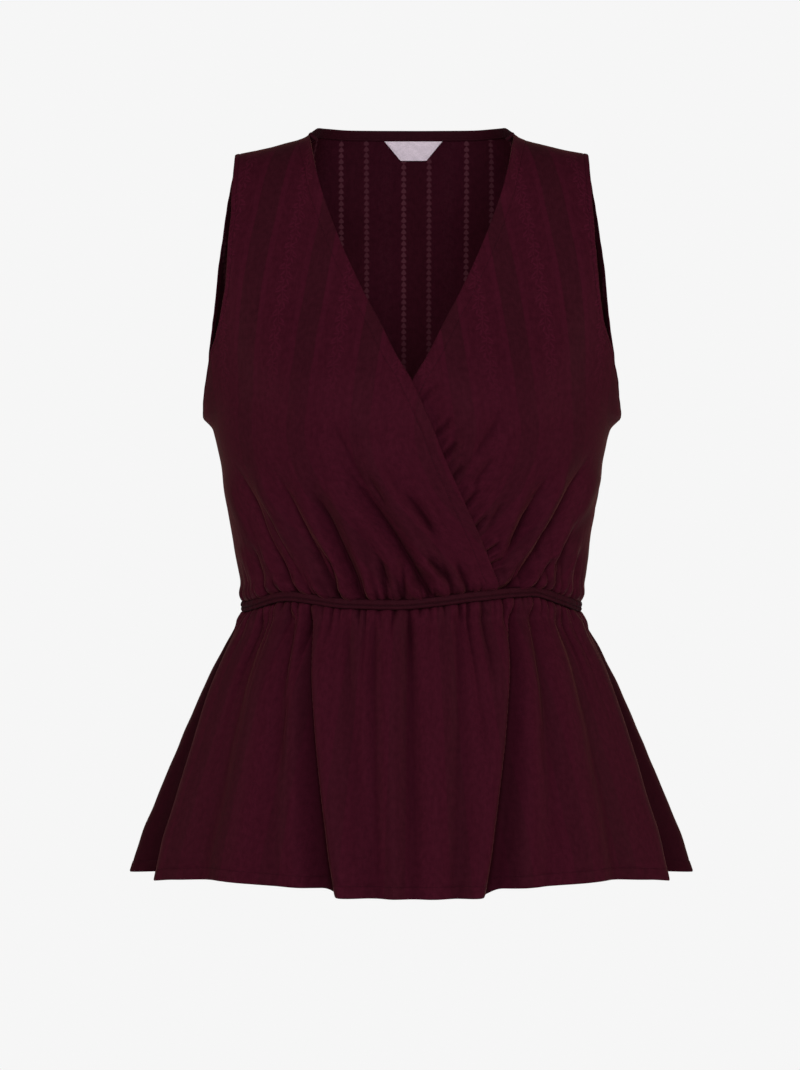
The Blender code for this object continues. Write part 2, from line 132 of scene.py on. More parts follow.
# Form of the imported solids. Each table is read along its first column, which rises.
BODY = table(
    "height half_width front_depth back_depth squareness",
    (-384, 134.6, 93, 77.5, 2.2),
    (-371, 136.2, 94.5, 78, 2.2),
    (-354, 139, 96.5, 79, 2.2),
    (-330, 142.6, 100, 81.5, 2.2),
    (-306, 146.3, 104, 85, 2.25),
    (-282, 149.8, 107.5, 88.5, 2.25),
    (-258, 153.8, 109.5, 91.5, 2.3),
    (-233, 159.2, 109, 94, 2.3),
    (-203, 163, 105, 95, 2.4),
    (-179, 165.5, 98.5, 94.5, 2.5),
    (-150, 169, 88, 92, 2.6),
    (-100, 174.5, 68, 83, 3),
    (-60, 176, 52, 70, 3),
    (0, 176, 42, 59, 3),
)
SHOULDER = table(
    "x height",
    (0, 60), (40, 48), (60, 32), (74, 10), (78, 0), (82, -7.5), (87, -10.5), (103, -15),
    (120, -19.2), (140.5, -23.5), (180, -33),
)
NECKLINE = table(
    "height x",
    (-384, -69), (-360, -66), (-338, -59), (-294, -39.5), (-262, -25), (-240, -16.5), (-202, 0),
    (-183, 11.5), (-156, 25), (-134, 37), (-98, 54), (-82, 60.5), (-66, 66.5), (-50, 71.8),
    (-32, 76.5), (-7.5, 82),
)
BACK_NECK = table(
    "x height",
    (0, -1), (50, -0.8), (70, 0), (74.5, 0), (78.5, -3), (82, -7.5),
)
# Share of each half's width that the armhole cuts off
ARMHOLE = table(
    "height front back",
    (-233, 0, 0), (-228, 0.003, 0.002), (-220, 0.0085, 0.0048), (-203, 0.0195, 0.01),
    (-179, 0.049, 0.019), (-150, 0.113, 0.0503), (-100, 0.1712, 0.1089), (-60, 0.1907, 0.1534),
    (-23.5, 0.2017, 0.2017),
)
FLARE = table(
    "height out",
    (-250, 0), (-242, 0.6), (-238, 3), (-233, 6.8), (-222, 5.5), (-203, 3), (-170, 0),
)
WAIST_FRONT = table(
    "x height",
    (-134, -383), (-96, -371), (-50, -375.5), (-10, -376), (15, -374), (48, -370), (93, -367),
    (115, -374), (134, -383),
)
WAIST_BACK = table(
    "x height",
    (-134, -383), (-70, -377.5), (0, -376.5), (70, -377.5), (134, -383),
)
PEPLUM = table(
    "height half_width front_depth back_depth squareness",
    (-610, 210, 149, 137, 2.1),
    (-566, 200, 144, 131, 2.1),
    (-542, 192.5, 139, 125, 2.1),
    (-494, 177.5, 127, 112, 2.15),
    (-446, 161.5, 113.5, 98, 2.2),
    (-420, 151, 106, 90, 2.2),
    (-400, 141.2, 99, 83, 2.2),
    (-384, 134.6, 93, 77.5, 2.2),
    (-360, 134.6, 93, 77.5, 2.2),
)
HEM_FRONT = table(
    "degrees height",
    (0, -598.5), (16, -597.5), (21, -592.5), (45, -590), (65, -594.5), (77, -598.5), (90, -596.5),
)
HEM_BACK = table(
    "degrees height",
    (0, -597), (50, -597), (77, -602), (90, -596.5),
)
# How far the woven lines of a front lean out from the centre on their way down, and back in again
FRONT_LEAN = table(
    "height out",
    (-380, -60), (-330, -20), (-280, 20), (-240, 32), (-200, 30), (-120, 16), (-40, 0), (0, -4),
)
# Painted shade in creases: a crease is compared with its surroundings over this many columns each way,
# up to a full depth
PAINTED_SHADE_SCALES = table(
    "reach full share",
    (3, 1.8, 1), (12, 8, 0.7), (30, 18, 0.9),
)
# Troughs on the fronts and back, each from its faint top to its foot. Bow is how far its middle
# swings to the left of that line, and lip how far the cloth stands up beside it, as a share of the
# depth. A fold that runs on goes past its foot.
FOLD_COLUMNS = "top_x top_z foot_x foot_z bow top_wide foot_wide depth lip runs_on"
UPPER_FOLDS = table(
    FOLD_COLUMNS,
    (-140, -262, -90, -370, 2, 9, 4.5, 3.4, 0.45, 1),
    (-107, -266, -57, -372, 1.5, 10, 4.5, 3.6, 0.45, 1),
    (-83, -276, -38, -373, -2, 9, 4, 4, 0.5, 1),
    (-58, -262, 14, -368, -3, 10, 4.8, 4.6, 0.5, 1),
    (-60, -228, -30, -296, 1, 10, 6, 1.8, 0.3, 0),
    (-36, -270, -18, -302, 0.5, 6, 4, 1.6, 0.4, 0),
    (-8, -286, 21, -328, -2.2, 4.8, 3, 2.1, 0.6, 0),
    (4, -334, 34, -360, -0.8, 4.6, 2.8, 2.1, 0.6, 0),
    (34, -340, 46, -368, 0, 5, 3, 1.6, 0.5, 1),
    (-127, -326, -113, -374, 0.5, 6, 3, 2, 0.5, 1),
    (-134, -300, -102, -372, 1, 6, 3.5, 1.4, 0.4, 1),
    (-67, -334, -58, -372, 0, 4.5, 2.6, 1.6, 0.5, 1),
    (-25, -336, -19, -374, 0, 4.5, 2.6, 2.2, 0.5, 1),
    (-7, -340, -6, -374, 0, 4, 2.6, 2.2, 0.5, 1),
    (-80, -320, -47, -372, -0.5, 6, 3.2, 1.4, 0.5, 1),
    (-120, -290, -76, -372, 1, 6, 3.5, 1.6, 0.4, 1),
)
UNDER_FOLDS = table(
    FOLD_COLUMNS,
    (142, -252, 75, -368, -5, 9, 4.5, 4, 0.5, 1),
    (108, -268, 70, -346, -1.5, 8, 4.5, 3, 0.45, 0),
    (68, -220, 37, -272, -3, 9, 5, 2.2, 0.4, 0),
    (62, -258, 44, -288, -0.5, 6, 3.6, 1.8, 0.4, 0),
    (72, -294, 57, -320, -0.5, 6, 3.6, 2, 0.4, 0),
    (96, -294, 72, -344, -1, 7, 4, 1.8, 0.4, 0),
    (124, -328, 112, -368, 0.5, 5, 2.8, 2.2, 0.5, 1),
    (112, -340, 94, -366, 0.5, 5, 2.8, 2.4, 0.5, 1),
    (134, -300, 104, -368, -1, 6, 3.4, 1.4, 0.4, 1),
    (136, -330, 127, -376, 0, 5, 2.8, 1.6, 0.5, 1),
    # Puckers where this front comes out from under the other one's edge
    (20, -204, 6, -218, 0, 3.5, 2.2, 1, 0.4, 1),
    (32, -231, 18, -244, 0, 3.5, 2.2, 1.6, 0.5, 1),
    (37, -248, 23, -262, 0, 3.5, 2.2, 1.8, 0.6, 1),
    (41, -266, 31, -279, 0, 3, 2, 1.4, 0.5, 1),
    (53, -285, 41, -301, 0, 3.5, 2, 1.6, 0.5, 1),
    (60, -305, 49, -319, 0, 3.2, 2, 1.8, 0.5, 1),
    (71, -328, 58, -337, 0, 2.8, 1.8, 2.1, 0.7, 1),
    (75, -340, 62, -347, 0, 2.6, 1.8, 1.9, 0.7, 1),
)
BACK_FOLDS = table(
    FOLD_COLUMNS,
    (-138, -262, -88, -376, 2, 9, 4.5, 3.4, 0.45, 1),
    (-104, -286, -64, -376, 1, 9, 4.5, 3.2, 0.45, 1),
    (-62, -276, -36, -376, 1, 9, 4.2, 3, 0.45, 1),
    (-28, -306, -16, -376, 0, 7.5, 3.8, 2.4, 0.45, 1),
    (8, -284, 6, -376, 0, 9, 4.2, 2.8, 0.45, 1),
    (40, -312, 28, -376, 0, 7.5, 3.8, 2.4, 0.45, 1),
    (72, -272, 48, -376, -1, 9, 4.2, 3.2, 0.45, 1),
    (108, -294, 74, -376, -1, 8.5, 4.2, 2.8, 0.45, 1),
    (140, -258, 96, -376, -2, 9, 4.5, 3.4, 0.45, 1),
    (-122, -330, -108, -378, 0, 5.5, 3, 1.8, 0.5, 1),
    (126, -326, 112, -378, 0, 5.5, 3, 1.8, 0.5, 1),
)
# Folds of the peplum, in degrees from its centre. A minus depth is a trough. Steep makes the side
# towards the centre that many times narrower than the other.
PEPLUM_FOLD_COLUMNS = "waist_angle hem_angle waist_wide hem_wide waist_depth hem_depth steep"
PEPLUM_FRONT_FOLDS = table(
    PEPLUM_FOLD_COLUMNS,
    (-90, -90, 4, 9, -1, -19, 1),
    (-76, -73, 4, 4, 2.2, 6.2, 0.6),
    (-60, -54, 3, 6, -5, -4.8, 1.1),
    (-52, -42, 3, 6, 1.6, 3.4, 1),
    (-46, -30, 2.4, 4, -5.2, -1.2, 1.5),
    (-42, -25, 2.4, 4, 2, 2, 1),
    (-38, -18.4, 3, 6.2, -6.2, -16.5, 4),
    (-32.5, -14.9, 3, 3.4, 3, 5.6, 1),
    (-23, -9.5, 1.8, 2.4, -3.4, -1.4, 1),
    (-13, -7, 2, 2.8, -3.6, -3, 1.4),
    (-8, -3, 3, 4, 1.4, 2.8, 1),
    (-1, 0, 1.8, 2.8, -4.4, -4.2, 1),
    (8, 5, 3, 4, 1.4, 2.8, 1),
    (16, 9.5, 1.8, 2.8, -3.6, -2.4, 1),
    (32.5, 13.8, 3, 3.4, 3, 5.6, 1),
    (38, 17.2, 3, 6.2, -6.2, -16, 4),
    (42, 25, 2.4, 4, 2, 2, 1),
    (47, 31, 2.4, 4, -5.4, -1.6, 1.5),
    (53, 42, 3, 6, 1.6, 3.4, 1),
    (60, 53, 3, 6, -4.8, -5.2, 1.1),
    (76, 73, 4, 4, 2.2, 6.2, 0.6),
    (90, 90, 4, 9, -1, -19, 1),
)
PEPLUM_BACK_FOLDS = table(
    PEPLUM_FOLD_COLUMNS,
    (-90, -90, 4, 5, -1, -19, 1),
    (-76, -77, 8, 9, 1.2, 26.5, 1),
    (-58, -52, 4, 6, -2.4, -8.5, 1.3),
    (-50, -44, 3, 5, 1, 3, 1),
    (-44, -37, 4, 6, 1.2, 5, 1),
    (-31, -25, 3, 5, -2.6, -8.5, 1.3),
    (-22, -17, 3, 4, -1.4, -2, 1),
    (-16, -12, 4, 6, 1, 5, 1),
    (-4, -1, 3, 5, -2.2, -6.4, 1),
    (5, 5, 3, 4, 1, 2, 1),
    (13, 12, 4, 6, 1, 4.6, 1),
    (28, 24, 3, 5, -2.6, -8.8, 1.3),
    (36, 31, 3, 4, 1, 2.2, 1),
    (43, 38, 4, 6, 1.2, 5.4, 1),
    (57, 52, 4, 6, -2.4, -8, 1.3),
    (76, 77, 8, 9, 1.2, 26.5, 1),
    (90, 90, 4, 5, -1, -19, 1),
)
# Leaves and petals of the sprig: middle, half length, half width and turn in degrees
SPRIG_LEAVES = table(
    "across down long wide degrees",
    (3, -6.4, 3.4, 0.8, 48), (3.4, -3.4, 3, 0.7, 20), (3, 0.6, 3.2, 0.8, 55),
    (2.4, 5, 2.4, 0.8, -50), (0, 7, 1.2, 1.8, 0), (2.2, 8.4, 2, 0.7, 8),
)
# ---- Creases, gathers and grids ----

FOLD_DEPTH = 1.8
FOLD_FADES_IN = 0.34
FOLD_ENDS = 1.6
LIP_AT = 1.75
LIP_WIDE = 0.85

# Gathers out of the waist seam, broad and fine ones: count, depth and reach
FRONT_GATHERS = ((28, 0.0034, 0.011), (58, 0.0024, 0.008))
BACK_GATHERS = ((46, 0.0044, 0.013), (90, 0.0021, 0.008))
PEPLUM_GATHERS = ((42, 0.0048, 0.024), (96, 0.0019, 0.008))
GATHER_FLOOR = 0.0050

# Beside the waist: how far the cloth puffs out, how far from the casing, and how far it goes in
BODICE_WAIST = (0.0028, 0.006, 0.0030)
PEPLUM_WAIST = (0.0026, 0.007, 0.0028)

# Slow unrest of the cloth: depth and wave length
FRONT_UNREST = (0.00030, 0.030)
BACK_UNREST = (0.00028, 0.034)
PEPLUM_UNREST = (0.00030, 0.036)
BODICE_PUCKERS = (0.00012, 0.009)
PEPLUM_PUCKERS = (0.00012, 0.010)

# The cloth turned in at the waist behind the casing: how far in it lies and how far past the edge
BODICE_ALLOWANCE = -0.0062
PEPLUM_ALLOWANCE = -0.0042
BODICE_TURNED = np.array([[0.0012], [0.0045]])
PEPLUM_TURNED = np.array([[0.0027], [0.0005]])
TURNED_STEP = 0.003

# Rows and columns of the grids: counts, distances between them and shares
ARCH_ROWS = 30
ARCH_SEAM_TURNS = (0, 0.010, 0.025, 0.050)
ARCH_FIRST_TURN = 0.08
BODY_STEP = 0.0019
GATHER_ZONE = 0.050
GATHER_STEP = 0.00125
# Columns of a first even grid, on which the places of the real columns are measured
FIRST_COLUMNS = 240
FRONT_MIDDLE_COLUMNS = 190
BACK_MIDDLE_COLUMNS = 26 * 7
BACK_MIDDLE_END = 0.90
NECK_SHARE = 20 / 52
CASING_COLUMNS = 420
CASING_ROWS = 18
CASING_LINE_ROW = 10
PEPLUM_COLUMNS = 336
PEPLUM_LENGTH = 0.2170
PEPLUM_STEP = 0.0026
PEPLUM_GATHER_ZONE = 0.040

# Level that the woven pattern of the fronts and back is measured down from
PATTERN_LEVEL = -0.200
# Share of a hem's relief that shows along the neck
NECK_HEM_SHARE = 0.7
# The peplum's side seams: relief at the waist and at the hem, and how far from them folds begin
SIDE_SEAM_RELIEF = (-0.0010, -0.0180)
SIDE_SEAM_CALM = 0.008

TOP_WIDE = BODY["half_width"][-1]
WAIST_WIDE = BODY["half_width"][0]
TIP_ANGLE = math.asin(SHOULDER_TIP_X / TOP_WIDE)
NECK_ANGLE = math.asin(NECK_POINT_X / TOP_WIDE)


# ---- Reading the tables ----


def read(columns, name, at):
    """Value of a named column, joined smoothly through its rows and held beyond the ends."""
    keys = next(iter(columns.values()))
    values = columns[name]
    step = np.diff(keys)
    slope = np.diff(values) / step
    product = slope[:-1] * slope[1:]
    same_way = product > 0
    total = np.where(same_way, slope[:-1] + slope[1:], 1.0)
    inner = np.where(same_way, 2 * product / total, 0.0)
    tangent = np.concatenate(([slope[0]], inner, [slope[-1]]))
    at = np.clip(at, keys[0], keys[-1])
    cell = np.clip(np.searchsorted(keys, at) - 1, 0, len(step) - 1)
    t = (at - keys[cell]) / step[cell]
    start = values[cell] + t**2 * (3 - 2 * t) * (values[cell + 1] - values[cell])
    bend = t * (1 - t) ** 2 * tangent[cell] - t**2 * (1 - t) * tangent[cell + 1]
    return start + bend * step[cell]


def smooth(t):
    """0 to 1 with level ends."""
    t = np.clip(t, 0, 1)
    return t * t * (3 - 2 * t)


def blend(start, end, share):
    return start + (end - start) * share


def bump(distance, width):
    return np.exp(-((distance / width) ** 2))


def valley(away):
    """1 at the bottom of a crease: a wide trough with a narrow one along its bottom."""
    return 0.62 * np.exp(-np.abs(away) ** 1.5) + 0.38 * np.exp(-np.abs(away / 0.34) ** 1.5)


# ---- Form under the cloth ----


def ring_point(form, angle, height, facing):
    """Point of a form's rounded section, on its front or back half."""
    wide = read(form, "half_width", height)
    deep = read(form, "front_depth" if facing == FRONT else "back_depth", height)
    square = read(form, "squareness", height)
    across = np.sin(angle)
    rounding = np.clip(1 - np.abs(across) ** square, 0, 1) ** (1 / square)
    return wide * across, deep * rounding


def outward(angle, facing, distance):
    """Level offset away from the body."""
    return distance * np.sin(angle), facing * distance * np.cos(angle)


def body_point(angle, height, facing, edge_angle, relief):
    """Point of the bodice. Over the shoulder the half closes onto the shoulder seam."""
    x, deep = ring_point(BODY, angle, height, facing)
    below = np.clip(read(SHOULDER, "height", np.abs(x)) - height, 0, ARCH_DROP)
    arch = np.sqrt(1 - (1 - below / ARCH_DROP) ** 2)
    y = facing * (deep * arch - SEAM_OVERLAP / 2)
    if facing == FRONT:
        across = (np.abs(x) - BUST_X) / BUST_WIDE
        along = (height - BUST_HEIGHT) / BUST_TALL
        relief = relief + BUST_OUT * np.exp(-(across**2) - along**2)
    # Relief stands level on the body and upright on top of the shoulder
    out_x, out_y = outward(angle, facing, relief * arch)
    near_edge = bump(edge_angle - np.abs(angle), FLARE_ANGLE)
    x = x + out_x + np.sign(angle) * read(FLARE, "out", height) * near_edge
    return np.stack([x, y + out_y, height + relief * (1 - arch)], axis=-1)


def off_form(form, angle, height, facing, relief, form_height=None):
    """Points of a form with level relief. form_height is where the form is read, if elsewhere."""
    x, deep = ring_point(form, angle, height if form_height is None else form_height, facing)
    out_x, out_y = outward(angle, facing, relief)
    y = facing * (deep - SEAM_OVERLAP / 2) + out_y
    return np.stack(np.broadcast_arrays(x + out_x, y, height), axis=-1)


def armhole_angle(height, facing):
    """Angle of the outer edge: the armhole, and the side seam below it."""
    cut_off = read(ARMHOLE, "front" if facing == FRONT else "back", height)
    return np.where(height > UNDERARM + 1e-6, np.arcsin(1 - cut_off), SIDE_SEAM)


def waist_height(x, facing):
    return read(WAIST_FRONT if facing == FRONT else WAIST_BACK, "height", x)


# ---- Grids: rows and columns at measured distances from their edges ----


def edge_run(stitch_at):
    """Distances from a sewn edge for the rows of points there: close at the edge and the stitches."""
    edge = [0, 0.0003, 0.0007, 0.0013]
    middle = list(np.arange(0.0025, stitch_at - 0.0016, 0.0016))
    stitches = [stitch_at + step * 0.00045 for step in (-2, -1, 0, 1, 2)]
    return np.array(edge + middle + stitches)


def stitch_row(stitch_at):
    return len(edge_run(stitch_at)) - 3


def body_stations():
    """Shares of the way down from shoulder to waist for the rows of the bodice."""
    top = float(read(SHOULDER, "height", SHOULDER_TIP_X))
    whole = top - (waist_height(WAIST_WIDE, FRONT) + CASING_HALF)
    turn = np.concatenate([ARCH_SEAM_TURNS, np.linspace(ARCH_FIRST_TURN, math.pi / 2, ARCH_ROWS)])
    arch = ARCH_DROP * (1 - np.cos(turn))
    plain = np.arange(ARCH_DROP + BODY_STEP, whole - GATHER_ZONE, BODY_STEP)
    gather = np.arange(whole - GATHER_ZONE, whole - 0.0010, GATHER_STEP)
    last = whole - np.array([0.0008, 0.0004, 0])
    return np.concatenate([arch, plain, gather, last]) / whole


def peplum_stations():
    """Shares of the way down the peplum for its rows."""
    first = np.array([0, 0.0004, 0.0010])
    gather = np.arange(0.0020, PEPLUM_GATHER_ZONE, GATHER_STEP)
    hem = PEPLUM_LENGTH - edge_run(BOTTOM_HEM)[::-1]
    plain = np.arange(PEPLUM_GATHER_ZONE, hem[0] - 0.001, PEPLUM_STEP)
    return np.concatenate([first, gather, plain, hem]) / PEPLUM_LENGTH


def run_along(points, axis):
    """Distance along a grid's rows or columns, from the first point."""
    steps = np.linalg.norm(np.diff(points, axis=axis), axis=-1)
    return np.concatenate([np.zeros_like(np.take(steps, [0], axis)), np.cumsum(steps, axis)], axis)


def by_row(at, keys, *values):
    """Each row's values read at the given places along it."""
    found = [np.stack([np.interp(a, k, v) for a, k, v in zip(at, keys, value)]) for value in values]
    return found if len(found) > 1 else found[0]


def square_to(points):
    """Directions square to a sheet."""
    out = np.cross(np.gradient(points, axis=1), np.gradient(points, axis=0))
    return out / np.maximum(np.linalg.norm(out, axis=-1, keepdims=True), 1e-12)


def facing_out(points, facing):
    """Directions square to a sheet on its outer side, and whether they were turned over for it."""
    out = square_to(points)
    turned = np.median(out[..., 1]) * facing < 0
    return (-out if turned else out), turned


# ---- Relief of the cloth ----


def folds(creases, x, z):
    """Soft troughs with raised lips along short curves."""
    total = np.zeros_like(x)
    for fold in rows_of(creases):
        run = np.array([fold["foot_x"] - fold["top_x"], fold["foot_z"] - fold["top_z"]])
        length = np.hypot(*run)
        along_x, along_z = run / length
        from_x, from_z = x - fold["top_x"], z - fold["top_z"]
        t = (from_x * along_x + from_z * along_z) / length
        inside = np.clip(t, 0, 1)
        away = from_x * along_z - from_z * along_x - 4 * fold["bow"] * inside * (1 - inside)
        away = away / blend(fold["top_wide"], fold["foot_wide"], inside)
        end = smooth((FOLD_ENDS - t) / 0.3) if fold["runs_on"] else smooth((1 - t) / 0.4)
        lips = fold["lip"] * bump(np.abs(away) - LIP_AT, LIP_WIDE)
        total += FOLD_DEPTH * fold["depth"] * smooth(t / FOLD_FADES_IN) * end * (lips - valley(away))
    return total


def peplum_folds(creases, angle, down):
    """Ridges and troughs that fan out from the waist to the hem."""
    total = np.zeros(np.broadcast(angle, down).shape)
    for fold in rows_of(creases):
        centre = blend(fold["waist_angle"], fold["hem_angle"], down**0.8)
        depth = blend(fold["waist_depth"], fold["hem_depth"], down)
        wide = blend(fold["waist_wide"], fold["hem_wide"], down)
        away = (np.degrees(angle) - centre) * np.sign(centre + 1e-9)
        away = away / np.where(away < 0, wide / fold["steep"], wide)
        total += depth * smooth(down / 0.10) * bump(away, 1)
    return total


def gathers(along, from_seam, kinds, random):
    """Uneven small pleats out of a seam. along is 0 to 1 on it. Each fades at its own length."""
    total = np.zeros(np.broadcast(along, from_seam).shape)
    for count, depth, reach in kinds:
        centres = (np.arange(count) + 0.5 + random.uniform(-0.3, 0.3, count)) / count
        for centre in centres:
            wide = random.uniform(0.16, 0.30) / count
            deep = depth * random.uniform(0.45, 1.30)
            far = reach * random.choice((0.4, 0.7, 1.2, 2.4)) * random.uniform(0.8, 1.2)
            lean = random.uniform(-0.25, 0.25) / count
            spread = 1 + 0.8 * from_seam / far
            away = (along - centre - lean * from_seam / far) / (wide * spread)
            total -= deep * valley(away) * np.exp(-np.clip(from_seam, 0, None) / far)
    return total


def seam_limit(relief, from_seam):
    """Keeps the troughs shallow enough to stay sewn to the seam, more so the closer they come."""
    floor = -(GATHER_FLOOR + 0.35 * np.clip(from_seam, 0, None))
    return np.where(relief < floor / 2, floor / 2 * (2 - np.exp(1 - 2 * relief / floor)), relief)


def at_waist(relief, from_seam, puff, puff_at, drawn_in):
    """Gathers puff out beside the casing and go in under it."""
    relief = relief + puff * bump(from_seam - TUCK - puff_at, puff_at)
    relief = relief - drawn_in * smooth(1 - from_seam / (2 * TUCK))
    return seam_limit(relief, from_seam)


def painted_crease_shade(relief, scales):
    """0 to 1: how far each point lies below the cloth on both sides of it, across its row. It is
    painted shade: the materials darken the colour by it.
    """
    deepest = np.zeros_like(relief)
    for reach, full, share in list(zip(*PAINTED_SHADE_SCALES.values()))[:scales]:
        reach = int(reach)
        total = np.cumsum(np.pad(relief, ((0, 0), (reach + 1, reach)), mode="edge"), axis=1)
        around = (total[:, 2 * reach + 1:] - total[:, :-2 * reach - 1]) / (2 * reach + 1)
        deepest = np.maximum(deepest, share * np.clip((around - relief) / full, 0, 1))
    return deepest


def ripple(along, across, random, depth, wave):
    """Slow uneven unrest of the cloth, from a few crossing waves."""
    total = np.zeros(np.broadcast(along, across).shape)
    for _ in range(7):
        turn = random.uniform(0, math.pi)
        size = wave * random.uniform(0.6, 1.9)
        phase = random.uniform(0, 2 * math.pi)
        path = along * math.cos(turn) + across * math.sin(turn)
        total = total + np.sin(2 * math.pi * path / size + phase)
    return depth * total / 7**0.5


def hem_relief(distance, stitch_at, puckers):
    """A turned and stitched edge, from the distance to it: rolled edge, soft puff, stitched groove."""
    roll = -0.0004 * bump(distance, 0.0006)
    puff = 0.00022 * smooth(distance / 0.001) * smooth((stitch_at - distance) / 0.001)
    groove = -0.00028 * bump(distance - stitch_at, 0.00055)
    near = smooth((1.8 * stitch_at - distance) / stitch_at)
    return roll + puff + groove + puckers * near


def seam_relief(distance):
    """A sewn seam: the cloth turns in at it."""
    return -0.0006 * bump(distance, 0.0009) + 0.0002 * bump(distance - 0.0030, 0.0016)


def hem_thickness(distance, stitch_at):
    return blend(HEM_CLOTH, CLOTH, smooth((distance - stitch_at) / 0.0008))


# ---- Sheets ----


def sheet(points, thickness, cloth, painted_shade=0, painted_inner_shade=0):
    """A piece of cloth. Its two painted shades darken the colour of its outer and inner side where
    shade falls.
    """
    values = {"thickness": thickness, "painted_shade": painted_shade, "painted_inner_shade": painted_inner_shade}
    values = {name: np.broadcast_to(value, points.shape[:2]) for name, value in values.items()}
    return {"points": points, "cloth": cloth, **values}


def with_allowance(sheet_data, rows, at_start=False):
    """The sheet with more rows of points past one end, so that no light comes through its seam."""
    edge = 0 if at_start else -1
    grown = {}
    for key, value in sheet_data.items():
        new = rows if key == "points" else np.repeat(value[[edge]], len(rows), axis=0)
        if key == "cloth":
            past = np.arange(len(rows), 0, -1) if at_start else -np.arange(1, len(rows) + 1)
            new = new - [0, TURNED_STEP] * past[:, None, None]
        grown[key] = np.concatenate([new, value] if at_start else [value, new])
    return grown


def cloth_down(points, height, level):
    """Distance down the cloth, measured so that it agrees along one level line."""
    run = run_along(points, 0)
    at_level = by_row(np.full((run.shape[1], 1), -level), -height.T, run.T)
    return run - at_level.T


def bodice_sheet(facing, place, relief, across, random, unrest, from_neck=None, deeper=0, dark=0):
    """A front or the back from its folds and gathers. place holds each point's angle, height, outer
    edge, foot and distance from the outer edge. deeper is how much further in its allowance lies,
    and dark how much painted shade darkens its inside beside the armholes."""
    angle, height, outer, foot, from_outer = place
    relief = relief + ripple(ring_point(BODY, angle, height, facing)[0], height, random, *unrest)
    puckers = ripple(height, height * 0, random, *BODICE_PUCKERS)
    armhole = smooth((height - UNDERARM) / 0.004)
    relief += blend(seam_relief(from_outer), hem_relief(from_outer, ARMHOLE_HEM, puckers), armhole)
    thickness = blend(CLOTH, hem_thickness(from_outer, ARMHOLE_HEM), armhole)
    if from_neck is not None:
        relief += NECK_HEM_SHARE * hem_relief(from_neck, NECK_HEM, puckers)
        thickness = np.maximum(thickness, hem_thickness(from_neck, NECK_HEM))
    relief += seam_relief(run_along(body_point(angle, height, facing, outer, 0), 0))
    points = body_point(angle, height, facing, outer, relief)
    cloth = np.stack([across, cloth_down(points, height, PATTERN_LEVEL)], axis=-1)
    # Painted shade: the inside next to the armhole edges is darkened, where it lies in shadow
    painted_inner_shade = dark * smooth((0.020 - from_outer) / 0.012) * armhole
    whole = sheet(points, thickness, cloth, painted_crease_shade(relief, 1), painted_inner_shade)
    turned_in = BODICE_ALLOWANCE - deeper
    below = foot[-1:] - BODICE_TURNED
    return with_allowance(whole, body_point(angle[-1:], below, facing, outer[-1:], turned_in))


def front_sheet(side, is_upper, random):
    """One front. side is -1 for the wearer's right and 1 for the left."""
    share = np.linspace(0, 1, FIRST_COLUMNS + 1)[None, :]
    station = body_stations()[:, None]
    top = read(SHOULDER, "height", TOP_WIDE * np.sin(blend(TIP_ANGLE, NECK_ANGLE, share)))
    waist_inner = math.asin(NECKLINE["x"][0] / WAIST_WIDE)
    foot_x = WAIST_WIDE * np.sin(blend(SIDE_SEAM, waist_inner, share))
    foot = waist_height(side * foot_x, FRONT) + CASING_HALF - TUCK
    height = blend(top, foot, station)
    outer = armhole_angle(height[:, :1], FRONT)
    inner_height = height[:, -1:]
    inner_share = read(NECKLINE, "x", inner_height) / read(BODY, "half_width", inner_height)
    angle = side * blend(outer, np.arcsin(inner_share), share)
    to_centre = side * outer * np.linspace(1, 0, FIRST_COLUMNS + 1)[None, :]
    level = height[:, :1] + 0 * to_centre
    centre = run_along(body_point(to_centre, level, FRONT, outer, 0), 1)[:, -1:]

    # Columns at even distances across, with the hems' own at both edges
    run = run_along(body_point(angle, height, FRONT, outer, 0), 1)
    width = run[:, -1:]
    start = edge_run(ARMHOLE_HEM)
    end = edge_run(NECK_HEM)
    middle = np.linspace(0, 1, FRONT_MIDDLE_COLUMNS + 2)[1:-1]
    from_outer = np.concatenate([
        np.broadcast_to(start, (len(station), len(start))),
        start[-1] + (width - end[-1] - start[-1]) * middle,
        width - end[::-1],
    ], axis=1)
    foot, share = (np.broadcast_to(value, height.shape) for value in (foot, share))
    angle, height, foot, share = by_row(from_outer, run, angle, height, foot, share)
    from_neck = width - from_outer
    x = ring_point(BODY, angle, height, FRONT)[0]
    shown = x + read(NECKLINE, "x", height)
    behind = np.zeros_like(x) if is_upper else 1 - smooth(shown / LAP_FADE)
    from_seam = height - foot
    relief = folds(UPPER_FOLDS if is_upper else UNDER_FOLDS, x, height)
    relief += gathers(share, from_seam, FRONT_GATHERS, random) * smooth(from_neck / 0.012)
    relief = at_waist(relief, from_seam, *BODICE_WAIST)
    if not is_upper:
        # Hidden, it nests in the other front's folds and keeps clear of its gathers
        near_waist = 0.0040 * np.exp(-from_seam / 0.014)
        hidden = np.minimum(seam_limit(folds(UPPER_FOLDS, x, height), from_seam), 0) - near_waist
        relief = blend(hidden, relief - near_waist * behind, smooth((shown + 0.003) / 0.004))
    relief -= LAP_DEPTH * behind
    across = centre - from_outer - read(FRONT_LEAN, "out", height) - FRONT_PAIR_AT
    # Where it hangs behind the other front, its allowance comes back out to that one's
    last = behind[-1:]
    deeper = np.concatenate([(LAP_DEPTH + 0.0040) * last, 0.0012 * smooth(last / 0.2)])
    place = (angle, height, outer, foot, from_outer)
    return bodice_sheet(FRONT, place, relief, across, random, FRONT_UNREST, from_neck, deeper)


